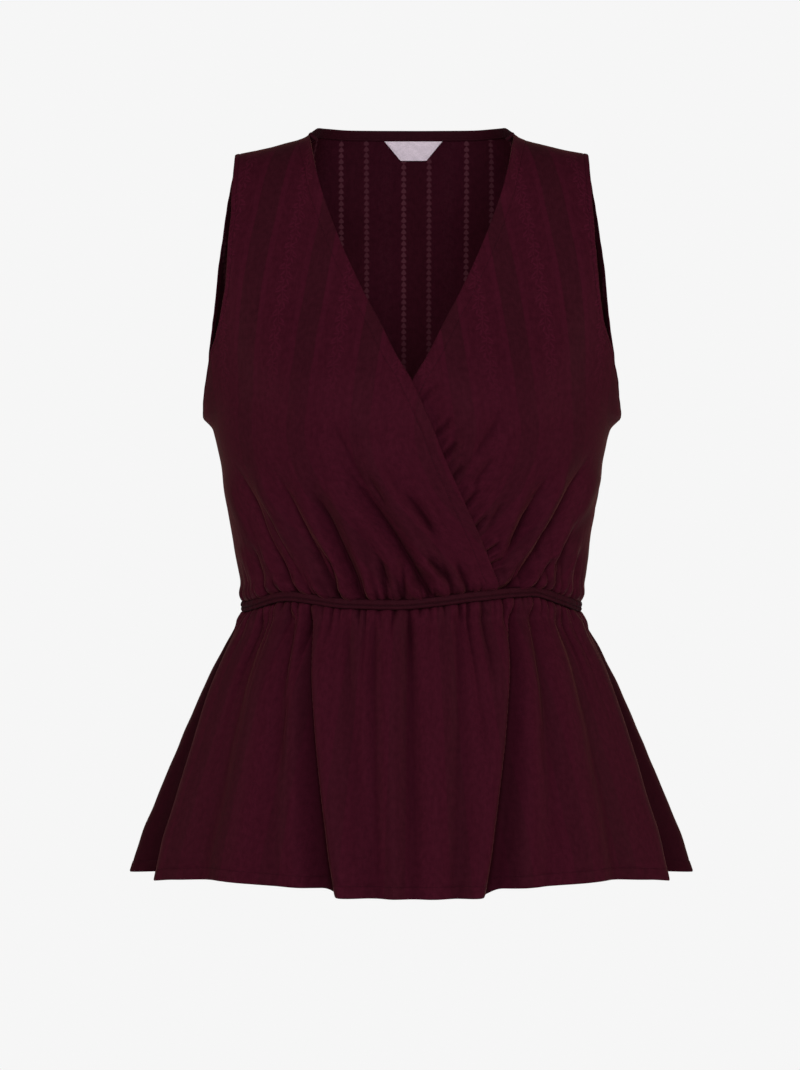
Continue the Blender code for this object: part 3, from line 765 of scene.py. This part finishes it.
def back_edge(share):
    """Angles and heights of the back's top edge: shoulder, neck and shoulder."""
    turn = np.sin(np.clip(np.abs(share) / NECK_SHARE, 0, 1) * math.pi / 2)
    neck_angle = np.arcsin(NECK_POINT_X * turn / TOP_WIDE)
    shoulder_angle = np.interp(np.abs(share), (NECK_SHARE, 1), (NECK_ANGLE, TIP_ANGLE))
    on_neck = np.abs(share) < NECK_SHARE + 1e-6
    angle = np.where(on_neck, neck_angle, shoulder_angle) * np.sign(share)
    x = np.abs(TOP_WIDE * np.sin(angle))
    return angle, np.where(on_neck, read(BACK_NECK, "height", x), read(SHOULDER, "height", x))


def back_base(share, station):
    """Angles, heights and outer edge of the back for shares across and stations down."""
    top_angle, top = back_edge(share)
    tip_angle, tip = back_edge(np.ones((1, 1)))
    foot = waist_height(WAIST_WIDE * np.sin(SIDE_SEAM * share), BACK) + CASING_HALF - TUCK
    height = blend(top, foot, station)
    outer = armhole_angle(blend(tip, foot[:, -1:], station), BACK)
    spread = blend(top_angle / tip_angle, share, smooth(station * 1.6))
    return outer * spread, height, outer, np.broadcast_to(foot, height.shape)


def back_sheet(random):
    share = np.linspace(-1, 1, 2 * FIRST_COLUMNS + 1)[None, :]
    station = body_stations()[:, None]
    angle, height, outer, _ = back_base(share, station)
    base = body_point(angle, height, BACK, outer, 0)
    run = run_along(base, 1)
    width = run[:, -1:]
    # The neck's corners keep a column of their own, so the middle columns go by share
    middle = np.linspace(-1, 1, BACK_MIDDLE_COLUMNS + 1)
    middle = middle[np.abs(middle) < BACK_MIDDLE_END]
    hem = edge_run(ARMHOLE_HEM)
    edges = np.broadcast_to(hem, (len(station), len(hem)))
    share = np.broadcast_to(share, height.shape)
    inner = by_row(np.broadcast_to(middle, (len(station), len(middle))), share, run)
    at = np.concatenate([edges, inner, width - edges[:, ::-1]], axis=1)
    share = by_row(at, run, share)
    angle, height, outer, foot = back_base(share, station)
    from_outer = np.minimum(at, width - at)
    from_seam = height - foot
    relief = folds(BACK_FOLDS, ring_point(BODY, angle, height, BACK)[0], height)
    relief += gathers((share + 1) / 2, from_seam, BACK_GATHERS, random)
    relief = at_waist(relief, from_seam, *BODICE_WAIST)
    across = at - by_row(np.zeros((len(run), 1)), base[..., 0], run) - BACK_PAIR_AT
    place = (angle, height, outer, foot, from_outer)
    return bodice_sheet(BACK, place, relief, across, random, BACK_UNREST, dark=0.85)


def casing_sheet(facing, random):
    """The elastic's casing: a narrow tube with a stitched line along it, pushed together a little."""
    angle = np.linspace(-SIDE_SEAM, SIDE_SEAM, CASING_COLUMNS + 1)[None, :]
    rise = np.sin(np.linspace(math.pi / 2, -math.pi / 2, CASING_ROWS + 1))[:, None]
    level = np.full_like(angle, BODY["height"][0])
    run = run_along(off_form(BODY, angle, level, facing, 0), 1)
    seam = waist_height(ring_point(BODY, angle, level, facing)[0], facing)
    height = seam + 1.12 * CASING_HALF * rise
    line = bump(rise + 0.20, 0.16)
    out = CASING_BULGE * np.sqrt(np.clip(1.05 - rise**2, 0, 1)) - 0.0009 * line
    out = out + ripple(run, height * 0.5, random, 0.00022, 0.0042) * (1 - 0.5 * line)
    out = out + ripple(run, height * 0.2, random, 0.00026, 0.014)
    points = off_form(BODY, angle, height, facing, out, level)
    cloth = np.stack(np.broadcast_arrays(run, height - seam), axis=-1)
    # Painted shade: darker along the stitched groove and at its top and bottom edges, where the cloth
    # meets it
    return sheet(points, BAND_CLOTH, cloth, 0.7 * line + 0.9 * smooth((np.abs(rise) - 0.78) / 0.18))


def peplum_sheet(facing, random):
    share = np.linspace(0, 1, PEPLUM_COLUMNS + 1)[None, :]
    angle = blend(-SIDE_SEAM, SIDE_SEAM, share)
    down = peplum_stations()[:, None]
    top = waist_height(WAIST_WIDE * np.sin(angle), facing) - CASING_HALF + TUCK
    hem = read(HEM_FRONT if facing == FRONT else HEM_BACK, "height", np.degrees(np.abs(angle)))
    height = blend(top, hem, down)
    from_hem = PEPLUM_LENGTH * (1 - down)
    from_seam = top - height
    run = run_along(off_form(PEPLUM, angle, height, facing, 0), 1)
    from_side = np.minimum(run, run[:, -1:] - run)
    relief = peplum_folds(PEPLUM_FRONT_FOLDS if facing == FRONT else PEPLUM_BACK_FOLDS, angle, down)
    relief += gathers(share, from_seam, PEPLUM_GATHERS, random)
    # At the side seams both halves lie alike
    free = smooth(from_side / SIDE_SEAM_CALM)
    relief = blend(blend(*SIDE_SEAM_RELIEF, down) * smooth(down / 0.10), relief, free)
    relief = at_waist(relief, from_seam, *PEPLUM_WAIST)
    relief += ripple(run, height, random, *PEPLUM_UNREST) * free
    relief += hem_relief(from_hem, BOTTOM_HEM, ripple(run, 0, random, *PEPLUM_PUCKERS) * free)
    relief += seam_relief(from_side)
    points = off_form(PEPLUM, angle, height, facing, relief)
    across = np.broadcast_to(run[-1:] - run[-1:, -1:] / 2, height.shape) - PEPLUM_PAIR_AT
    cloth = np.stack([across, run_along(points, 0)], axis=-1)
    painted_shade = painted_crease_shade(relief, 3)
    if facing == BACK:
        # Beyond the front's side edge it stands back: a painted shadow of that edge darkens its colour
        to_seam = 90 - np.degrees(np.abs(angle))
        beside = (0.72 + 0.28 * smooth((9 - to_seam) / 5)) * smooth((15.5 - to_seam) / 3)
        painted_shade = np.maximum(painted_shade, beside * smooth(down / 0.12))
    whole = sheet(points, hem_thickness(from_hem, BOTTOM_HEM), cloth, painted_shade)
    turned = off_form(PEPLUM, angle, top + PEPLUM_TURNED, facing, PEPLUM_ALLOWANCE)
    return with_allowance(whole, turned, at_start=True)


def binding_sheet(random):
    """A band from the back neck edge, laid square to that edge on the inside."""
    share = np.linspace(-NECK_SHARE, NECK_SHARE, 201)[None, :]
    station = body_stations()[:6, None] * 3
    angle, height, outer, _ = back_base(share, station)
    back = body_point(angle, height, BACK, outer, 0)
    out = square_to(back)[0]
    edge = back[0]
    run = np.gradient(edge, axis=0)
    run[0] = (0, 1, 0)
    run[-1] = (0, -1, 0)
    run /= np.linalg.norm(run, axis=-1, keepdims=True)
    away = np.cross(out, run)
    away /= np.linalg.norm(away, axis=-1, keepdims=True)
    width = np.linspace(0, BINDING_WIDE, 17)[:, None]
    length = run_along(edge[None], 1)
    rolled = 0.00035 * smooth(width / 0.001) * smooth((BINDING_WIDE - width) / 0.001)
    groove = -0.00030 * bump(width - BINDING_WIDE + BINDING_STITCHES, 0.00045)
    relief = rolled + groove + ripple(length, width * 0.3, random, 0.00010, 0.008)
    depth = CLOTH + INNER_CLEARANCE + width**2 / (2 * ARCH_DROP) + relief
    points = edge + width[..., None] * away - depth[..., None] * out
    return sheet(points, BAND_CLOTH, np.stack(np.broadcast_arrays(length, width), axis=-1))


def label_sheet(random):
    down = np.linspace(0, 1, 25)[:, None]
    wide = blend(LABEL_TOP_WIDE, LABEL_FOOT_WIDE, down)
    across = np.linspace(-0.5, 0.5, 49)[None, :]
    x, height = np.broadcast_arrays(LABEL_CENTRE_X + wide * across, LABEL_TOP - LABEL_TALL * down)
    angle = np.arcsin(x / read(BODY, "half_width", height))
    points = body_point(angle, height, BACK, SIDE_SEAM, np.zeros_like(x))
    hold = 1 - smooth((0.5 - np.abs(across)) * wide / 0.004)
    swell = 0.0006 * (1 - hold) + ripple(x, height, random, 0.00010, 0.012)
    depth = CLOTH + INNER_CLEARANCE + swell
    points = points - depth[..., None] * facing_out(points, BACK)[0]
    return sheet(points, CLOTH, np.stack([x, height], axis=-1))


# ---- Materials ----


def srgb(red, green, blue):
    """A colour as seen on screen, 0 to 255, in the linear values that shaders use."""
    share = np.array((red, green, blue)) / 255
    linear = np.where(share > 0.04045, ((share + 0.055) / 1.055) ** 2.4, share / 12.92)
    return (*linear.tolist(), 1.0)


def tinted(colour, factor):
    """A colour made darker or lighter."""
    return (*(min(1.0, factor * value) for value in colour[:3]), 1)


def feed(tree, node, values):
    """Gives a node's inputs their numbers and colours, or links them to fields."""
    for name, value in values.items():
        if isinstance(value, Field):
            tree.links.new(value.socket, node.inputs[name])
        else:
            node.inputs[name].default_value = value


def output_of(tree, kind, output, values=(), **settings):
    """One output of a new node, as a field."""
    node = tree.nodes.new(kind)
    for name, value in settings.items():
        setattr(node, name, value)
    feed(tree, node, dict(values))
    return Field(tree, node.outputs[output])


class Field:
    """An output of a shader node. Python can do sums with one that holds numbers."""

    def __init__(self, tree, socket):
        self.tree = tree
        self.socket = socket

    def step(self, operation, *others):
        inputs = enumerate((self, *others))
        return output_of(self.tree, "ShaderNodeMath", 0, inputs, operation=operation)

    def __add__(self, other):
        return self.step("ADD", other)

    def __sub__(self, other):
        return self.step("SUBTRACT", other)

    def __mul__(self, other):
        return self.step("MULTIPLY", other)

    def __truediv__(self, other):
        return self.step("DIVIDE", other)

    def __pow__(self, other):
        return self.step("POWER", other)

    def size(self):
        return self.step("ABSOLUTE")

    def sine(self):
        return self.step("SINE")

    def wave(self, length):
        """A sine wave of that length."""
        return (self * (2 * math.pi / length)).sine()

    def wrapped(self, period):
        """Folded into one period, centred on 0."""
        return self.step("WRAP", period / 2, -period / 2)

    def most(self, other):
        return self.step("MAXIMUM", other)

    def over(self, start, end):
        """0 below start, 1 above end, smooth between."""
        limits = {"Value": self, "From Min": start, "From Max": end}
        return output_of(
            self.tree, "ShaderNodeMapRange", "Result", limits, interpolation_type="SMOOTHSTEP")

    def under(self, start, end):
        """1 below start, 0 above end, smooth between."""
        return (self * -1.0).over(-end, -start)


SHADE_NAME = "painted_crease_shade"
CLOTH_MAP = "cloth"


def painted_shade_in_creases(tree):
    """Painted shade: 1 at the bottom of creases and gathers, where cloth lies against cloth and the
    colour is darkened.
    """
    return output_of(tree, "ShaderNodeAttribute", "Fac", attribute_name=SHADE_NAME)


def cloth_place(tree):
    """Across and down the cloth, in metres."""
    place = {"Vector": output_of(tree, "ShaderNodeUVMap", "UV", uv_map=CLOTH_MAP)}
    return [output_of(tree, "ShaderNodeSeparateXYZ", axis, place) for axis in "XY"]


def noise(across, down, across_scale, down_scale, detail=2.0):
    """Uneven values from 0 to 1, stretched along the cloth by the two scales."""
    tree = across.tree
    scaled = {"X": across * across_scale, "Y": down * down_scale}
    place = output_of(tree, "ShaderNodeCombineXYZ", "Vector", scaled)
    values = {"Vector": place, "Scale": 1.0, "Detail": detail}
    return output_of(tree, "ShaderNodeTexNoise", "Fac", values)


def mix_colours(share, first, second):
    """Between two colours or fields of colour."""
    values = {"Factor": share, "A": first, "B": second}
    return output_of(share.tree, "ShaderNodeMix", "Result", values, data_type="RGBA")


def chain_pattern(across, down, beaded):
    """Columns of small hearts, one above the other, on a stripe that shows where they don't."""
    pair = across.wrapped(REPEAT)
    from_chain = (pair.size() - CHAIN_FROM_MIDDLE).size()
    t = ((down - from_chain * 0.7) / CHAIN_PITCH).step("FRACT")
    half = ((t**0.7) * math.pi).sine() * CHAIN_HALF
    heart = (half - from_chain).over(-0.0002, 0.0006)
    stripe = from_chain.under(0.0016, 0.0026)
    strength = pair.over(-0.001, 0.001) * -0.2 + 1.0
    return (heart * beaded + stripe * (1 - beaded)) * strength


def sprig_pattern(across, down):
    """A stem with leaves in pairs, in a band halfway between two pairs of chains."""
    middle = (across + REPEAT / 2).wrapped(REPEAT)
    side = middle - down.wave(SPRIG_TALL) * 0.0009
    # The leaves on one side stand a third of a repeat lower than on the other
    shifted = down + side.over(-0.0001, 0.0001) * (SPRIG_TALL / 3)
    place = shifted.wrapped(SPRIG_TALL)
    total = side.size().under(0.0002, 0.0006) * 0.7
    for leaf in rows_of(SPRIG_LEAVES):
        turn = math.radians(leaf["degrees"])
        dx = side.size() - leaf["across"]
        dy = place - leaf["down"]
        along = (dx * math.cos(turn) + dy * math.sin(turn)) / leaf["long"]
        beside = (dy * math.cos(turn) - dx * math.sin(turn)) / leaf["wide"]
        total = total.most((along * along + beside * beside).under(0.6, 1.15))
    return total * middle.size().under(0.0066, 0.0074)


def band_pattern(across):
    """1 on the plain satin band between the chains of a pair."""
    return across.wrapped(REPEAT).size().under(0.0075, 0.0085)


def weave(across, down):
    """Satin threads: long floats down the cloth, broken now and then."""
    cross = (down * (2 * math.pi / 0.00060) + across * (2 * math.pi / 0.00126)).sine()
    return across.wave(0.00042) * 0.5 + cross * 0.35


def shaded(name):
    """A new material with its node tree and main shader."""
    material = bpy.data.materials.new(name)
    material.use_nodes = True
    tree = material.node_tree
    return material, tree, tree.nodes["Principled BSDF"]


def raised(height, distance):
    """Normals of a surface with a fine relief."""
    values = {"Strength": 1.0, "Distance": distance, "Height": height}
    return output_of(height.tree, "ShaderNodeBump", "Normal", values)


def satin(name, ground, band_ground, figure, chain_share, beaded, sprig_share, roughness, sheen):
    """Woven satin with its pattern. figure is the colour of the chains and sprigs, and band_ground
    that of the band between the two chains of a pair."""
    material, tree, shader = shaded(name)
    across, down = cloth_place(tree)
    band = band_pattern(across)
    slub = noise(across, down, 1500, 60, 3.0) - 0.5
    mottle = noise(across, down, 260, 200, 4.0) - 0.5
    grain = noise(across, down, 1900, 1500, 2.0) - 0.5
    # The figure shows most on the smooth chest, and less where the cloth is full
    clear = down.under(-0.050, 0.030) * (1 - FULL_SHARE) + FULL_SHARE
    chains = chain_pattern(across, down, beaded) * chain_share
    figured = chains.most(sprig_pattern(across, down) * sprig_share) * clear
    light = (slub * 0.5 + mottle * 0.8 + grain * 1.1 + 0.5).over(0.0, 1.0)
    grounds = [
        mix_colours(light, tinted(plain, 0.70), tinted(plain, 1.32)) for plain in (ground, band_ground)
    ]
    base = mix_colours(figured, mix_colours(band * (clear * 0.6 + 0.4), *grounds), figure)
    feed(tree, shader, {
        # Painted shade: the colour darkens towards a quarter of the ground's in creases and gathers
        "Base Color": mix_colours(painted_shade_in_creases(tree) * 0.75, base, tinted(ground, 0.25)),
        "Roughness": figured * 0.10 + slub * 0.12 - band * 0.04 + roughness,
        "Specular IOR Level": 0.025,
        "Specular Tint": srgb(225, 110, 140),
        "Sheen Weight": sheen,
        "Sheen Roughness": 0.35,
        "Sheen Tint": srgb(228, 150, 128),
        "Normal": raised(
            weave(across, down) * 0.10 + figured * 0.9 + grain * 0.5 + mottle * 0.8, 0.00010),
    })
    return material


def plain_cloth(name, colour, roughness, thread, sheen=0.01):
    """Plain woven cloth or tape with visible threads."""
    material, tree, shader = shaded(name)
    across, down = cloth_place(tree)
    grain = noise(across, down, 1700, 1100, 3.0)
    wear = noise(across, down, 180, 220, 3.0)
    light = ((grain - 0.5) * 0.9 + (wear - 0.5) * 0.5 + 0.5).over(0.0, 1.0)
    base = mix_colours(light, tinted(colour, 0.72), tinted(colour, 1.28))
    feed(tree, shader, {
        # Painted shade: the colour darkens where the sheet's painted shade says
        "Base Color": mix_colours(painted_shade_in_creases(tree), base, tinted(colour, 0.3)),
        "Roughness": (grain - 0.5) * 0.15 + roughness,
        "Specular IOR Level": 0.02,
        "Sheen Weight": sheen,
        "Sheen Roughness": 0.4,
        "Normal": raised(across.wave(thread) * down.wave(thread) * 0.5 + grain * 0.6, 0.00008),
    })
    return material


def thread_material(name, colour):
    """Twisted sewing thread, by place on the object."""
    material, tree, shader = shaded(name)
    place = output_of(tree, "ShaderNodeTexCoord", "Object")
    twist = output_of(tree, "ShaderNodeTexNoise", "Fac", {"Vector": place, "Scale": 900})
    feed(tree, shader, {
        "Base Color": mix_colours(twist, tinted(colour, 0.7), colour),
        "Roughness": twist * 0.2 + 0.4,
        "Specular IOR Level": 0.03,
        "Normal": raised(twist, 0.00005),
    })
    return material


# ---- Meshes ----


def grid_faces(rows, columns, first=0):
    """Four-cornered faces of a grid whose points are numbered row by row."""
    corner = first + np.arange((rows - 1) * columns).reshape(rows - 1, columns)[:, :-1].ravel()
    return np.stack([corner, corner + 1, corner + columns + 1, corner + columns], axis=-1)


def rim_faces(rows, columns):
    """Faces that join the outer grid's border to the inner grid's, all the way round."""
    number = np.arange(rows * columns).reshape(rows, columns)
    border = np.concatenate([number[0, :], number[1:, -1], number[-1, -2::-1], number[-2:0:-1, 0]])
    after = np.roll(border, -1)
    inner = rows * columns
    return np.stack([border, border + inner, after + inner, after], axis=-1)


def add_mesh(name, points, faces, materials):
    mesh = bpy.data.meshes.new(name)
    mesh.from_pydata(points.tolist(), [], faces.tolist())
    for material in materials:
        mesh.materials.append(material)
    mesh.validate()
    mesh.shade_smooth()
    piece = bpy.data.objects.new(name, mesh)
    bpy.context.scene.collection.objects.link(piece)
    return piece


def add_cloth(name, sheet_data, facing, materials):
    """A sheet with its thickness to the inside. facing is the way its outer side looks, and the
    materials are those of its outer and its inner side."""
    points = sheet_data["points"]
    rows, columns = points.shape[:2]
    out, turned = facing_out(points, facing)
    inner = points - out * sheet_data["thickness"][..., None]
    outer_faces = grid_faces(rows, columns)
    inner_faces = grid_faces(rows, columns, rows * columns)[:, ::-1]
    faces = np.concatenate([outer_faces, inner_faces, rim_faces(rows, columns)])
    # The faces wind so that their normals point into the cloth. The materials show from both sides.
    if not turned:
        faces = faces[:, ::-1]
    piece = add_mesh(name, np.concatenate([points, inner]).reshape(-1, 3), faces, materials)
    mesh = piece.data
    is_inner = np.zeros(len(faces), dtype=np.int32)
    is_inner[len(outer_faces):2 * len(outer_faces)] = 1
    mesh.polygons.foreach_set("material_index", is_inner)
    places = np.tile(sheet_data["cloth"].reshape(-1, 2), (2, 1))[faces.ravel()]
    mesh.uv_layers.new(name=CLOTH_MAP).uv.foreach_set("vector", places.ravel().astype(np.float32))
    # Painted shade of both sides, kept on the points for the materials
    painted_shade = np.concatenate([sheet_data["painted_shade"], sheet_data["painted_inner_shade"]]).ravel()
    painted_shade_layer = mesh.attributes.new(SHADE_NAME, "FLOAT", "POINT")
    painted_shade_layer.data.foreach_set("value", painted_shade.astype(np.float32))
    return piece


STITCH_LONG = 0.0022
STITCH_PITCH = 0.0029
STITCH_THICK = 0.00014
STITCH_SIDES = 5
# Rings of a stitch: places along it and thickness there, as shares
STITCH_RINGS = (-0.5, -0.30, 0.30, 0.5)
STITCH_SWELL = (0.15, 1.0, 1.0, 0.15)


def stitch_line(path, out):
    """Points and faces of a row of stitches along a path, lying on a surface that faces out."""
    run = run_along(path[None], 1)[0]
    count = int(run[-1] / STITCH_PITCH)
    middles = (np.arange(count) + 0.5) * run[-1] / count
    turn = np.linspace(0, 2 * math.pi, STITCH_SIDES, endpoint=False)[:, None]
    at = middles[:, None] + np.array(STITCH_RINGS) * STITCH_LONG
    place, normal = (
        np.stack([np.interp(at, run, values[:, axis]) for axis in range(3)], axis=-1)
        for values in (path, out)
    )
    normal /= np.linalg.norm(normal, axis=-1, keepdims=True)
    side = np.cross(np.gradient(place, axis=1), normal)
    side /= np.maximum(np.linalg.norm(side, axis=-1, keepdims=True), 1e-12)
    radius = STITCH_THICK * np.array(STITCH_SWELL)[None, :, None, None]
    ring = np.cos(turn) * side[:, :, None] + np.sin(turn) * normal[:, :, None]
    points = place[:, :, None] + radius * ring + 0.6 * STITCH_THICK * normal[:, :, None]
    level, corner = np.mgrid[:len(STITCH_RINGS) - 1, :STITCH_SIDES].reshape(2, -1)
    low = level * STITCH_SIDES
    after = low + (corner + 1) % STITCH_SIDES
    faces = np.stack([low + corner, after, after + STITCH_SIDES, low + corner + STITCH_SIDES], axis=-1)
    first = len(STITCH_RINGS) * STITCH_SIDES * np.arange(count)[:, None, None]
    return points.reshape(-1, 3), (faces + first).reshape(-1, 4)


def add_stitching(name, lines, material):
    """Several rows of stitches as one joined mesh."""
    all_points, all_faces = [], []
    for path, out in lines:
        points, faces = stitch_line(path, out)
        all_faces.append(faces + sum(map(len, all_points)))
        all_points.append(points)
    return add_mesh(name, np.concatenate(all_points), np.concatenate(all_faces), [material])



# ---- The garment ----


def join_root(piece):
    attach(piece, BODY_NAME)


def make_sheets():
    """Each node's sheet of cloth, the way it faces, its two materials and its slot."""
    random = np.random.default_rng(RANDOM_SEED)
    outside = satin(
        "satin_outside", srgb(51, 13, 25), srgb(46, 14, 23), srgb(64, 17, 33), chain_share=0.26,
        beaded=0.35, sprig_share=0.62, roughness=0.46, sheen=0.09)
    inside = satin(
        "satin_inside", srgb(42, 11, 21), srgb(41, 11, 20), srgb(88, 50, 60), chain_share=0.44,
        beaded=1.0, sprig_share=0.03, roughness=0.55, sheen=0.01)
    # The casing is coloured darker than the satin: painted shade of its ruching and of the cloth that
    # puffs over it
    casing = plain_cloth("casing_cloth", srgb(43, 11, 20), 0.5, 0.0006)
    binding = plain_cloth("binding_cloth", srgb(40, 10, 19), 0.5, 0.0006)
    ribbon = plain_cloth("label_ribbon", srgb(214, 200, 213), 0.6, 0.0004, 0.1)
    satins = (outside, inside)
    # The order settles which random numbers each sheet gets
    return {
        "front_right": (front_sheet(-1, True, random), FRONT, satins, "satin"),
        "front_left": (front_sheet(1, False, random), FRONT, satins, "satin"),
        "back": (back_sheet(random), BACK, satins, "satin"),
        "peplum_front": (peplum_sheet(FRONT, random), FRONT, satins, "satin"),
        "peplum_back": (peplum_sheet(BACK, random), BACK, satins, "satin"),
        "waist_casing_front": (casing_sheet(FRONT, random), FRONT, (casing, inside), "casing"),
        "waist_casing_back": (casing_sheet(BACK, random), BACK, (casing, inside), "casing"),
        "back_neck_binding": (binding_sheet(random), BACK, (binding, binding), "binding"),
        "neck_label": (label_sheet(random), BACK, (ribbon, ribbon), "label"),
    }


def stitched_lines(node, points):
    """Rows of stitches on a node, by the rows and columns of its grid that they follow."""
    arm = stitch_row(ARMHOLE_HEM)
    by_armhole = points[:, arm, 2] > UNDERARM + 0.002
    if node == "back":
        return (by_armhole, arm), (by_armhole, -1 - arm)
    if node.startswith("front"):
        return (by_armhole, arm), (slice(2, -5), -1 - stitch_row(NECK_HEM))
    if node.startswith("peplum"):
        return ((-1 - stitch_row(BOTTOM_HEM), slice(2, -2)),)
    if node.startswith("waist_casing"):
        return ((CASING_LINE_ROW, slice(2, -2)),)
    return ()


def make_garment():
    sheets = make_sheets()
    thread = thread_material("thread", srgb(44, 12, 22))
    pieces = {}
    for node, (data, facing, materials, slot) in sheets.items():
        pieces[node] = add_cloth(f"{node}_cloth", data, facing, materials)
        join_root(pieces[node])
        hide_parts(node)

    stitches = {node: [] for node in sheets}
    for node, (data, facing, _, slot) in sheets.items():
        points = data["points"]
        out = facing_out(points, facing)[0]
        lines = [(points[place], out[place]) for place in stitched_lines(node, points)]
        if lines:
            stitches[node].append(add_stitching(f"{node}_stitching", lines, thread))
            join_root(stitches[node][0])


# ---- Studio ----

CAMERA_AT = (-0.00928, -3.0, -0.18)
CAMERA_AIM = (-0.00928, 0.0, -0.3264)
CAMERA_LENS = 126.3
SENSOR_LONG_SIDE = 36
FLOOR_HEIGHT = -1.42
FLOOR_RADIUS = 3.0
FLOOR_GREY = (0.86, 0.86, 0.86, 1)
FLOOR_GLOW = 0.62
WALL_GREY = (0.922, 0.922, 0.922, 1)
WALL_LIGHT = 0.10
WHITE = (1, 1, 1, 1)
WARM = (1.0, 0.84, 0.72)
LIGHT_AIM = (0.0, 0.0, -0.30)


def aim(holder, place, target):
    """Puts a lamp or camera at a place, looking at a target, and in the scene."""
    holder.location = place
    way = Vector(target) - Vector(place)
    holder.rotation_euler = way.to_track_quat("-Z", "Y").to_euler()
    bpy.context.scene.collection.objects.link(holder)


def add_floor():
    bpy.ops.mesh.primitive_circle_add(
        vertices=96, radius=FLOOR_RADIUS, fill_type="NGON", location=(0, 0, FLOOR_HEIGHT))
    floor = bpy.context.object
    floor.name = "floor"
    material, tree, shader = shaded("pale_floor")
    place = output_of(tree, "ShaderNodeTexCoord", "Object")
    from_middle = output_of(tree, "ShaderNodeVectorMath", "Value", {0: place}, operation="LENGTH")
    # The floor looks as pale as the wall, and throws no more light up than a floor would
    seen = output_of(tree, "ShaderNodeLightPath", "Is Camera Ray")
    feed(tree, shader, {
        "Base Color": FLOOR_GREY,
        "Roughness": 0.7,
        "Alpha": from_middle.over(FLOOR_RADIUS, FLOOR_RADIUS * 0.55),
        "Emission Color": WHITE,
        "Emission Strength": seen * FLOOR_GLOW,
    })
    floor.data.materials.append(material)


def add_light(name, place, size, watts, colour=(1, 1, 1), glossy=True):
    light = bpy.data.lights.new(name, "AREA")
    light.color = colour
    light.shape = "SQUARE"
    light.size = size
    light.energy = watts
    lamp = bpy.data.objects.new(name, light)
    lamp.visible_glossy = glossy
    aim(lamp, place, LIGHT_AIM)


def add_world():
    """A pale studio wall all round, which lights the cloth softly."""
    world = bpy.data.worlds.new("studio")
    world.use_nodes = True
    tree = world.node_tree
    wall = tree.nodes["Background"]
    feed(tree, wall, {"Color": WALL_GREY})
    soft = {"Color": WHITE, "Strength": WALL_LIGHT}
    shown = output_of(tree, "ShaderNodeMixShader", "Shader", {
        "Fac": output_of(tree, "ShaderNodeLightPath", "Is Camera Ray"),
        1: output_of(tree, "ShaderNodeBackground", "Background", soft),
        2: Field(tree, wall.outputs["Background"]),
    })
    feed(tree, tree.nodes["World Output"], {"Surface": shown})
    bpy.context.scene.world = world


def add_camera():
    camera = bpy.data.cameras.new("camera")
    camera.sensor_width = SENSOR_LONG_SIDE
    camera.lens = CAMERA_LENS
    holder = bpy.data.objects.new("camera", camera)
    aim(holder, CAMERA_AT, CAMERA_AIM)
    bpy.context.scene.camera = holder


def make_studio():
    add_floor()
    add_world()
    add_light("key", (-0.4, -2.9, 0.7), 1.1, 35)
    add_light("fill", (0.6, -2.9, 0.0), 1.1, 32)
    add_light("side_left", (-2.0, -0.6, 0.1), 1.0, 15, WARM)
    add_light("side_right", (2.0, -0.6, 0.1), 1.0, 15, WARM)
    add_light("behind", (0.5, 2.9, 0.3), 1.2, 75, glossy=False)
    add_camera()
    bpy.context.scene.view_settings.view_transform = "Standard"


make_garment()
make_studio()
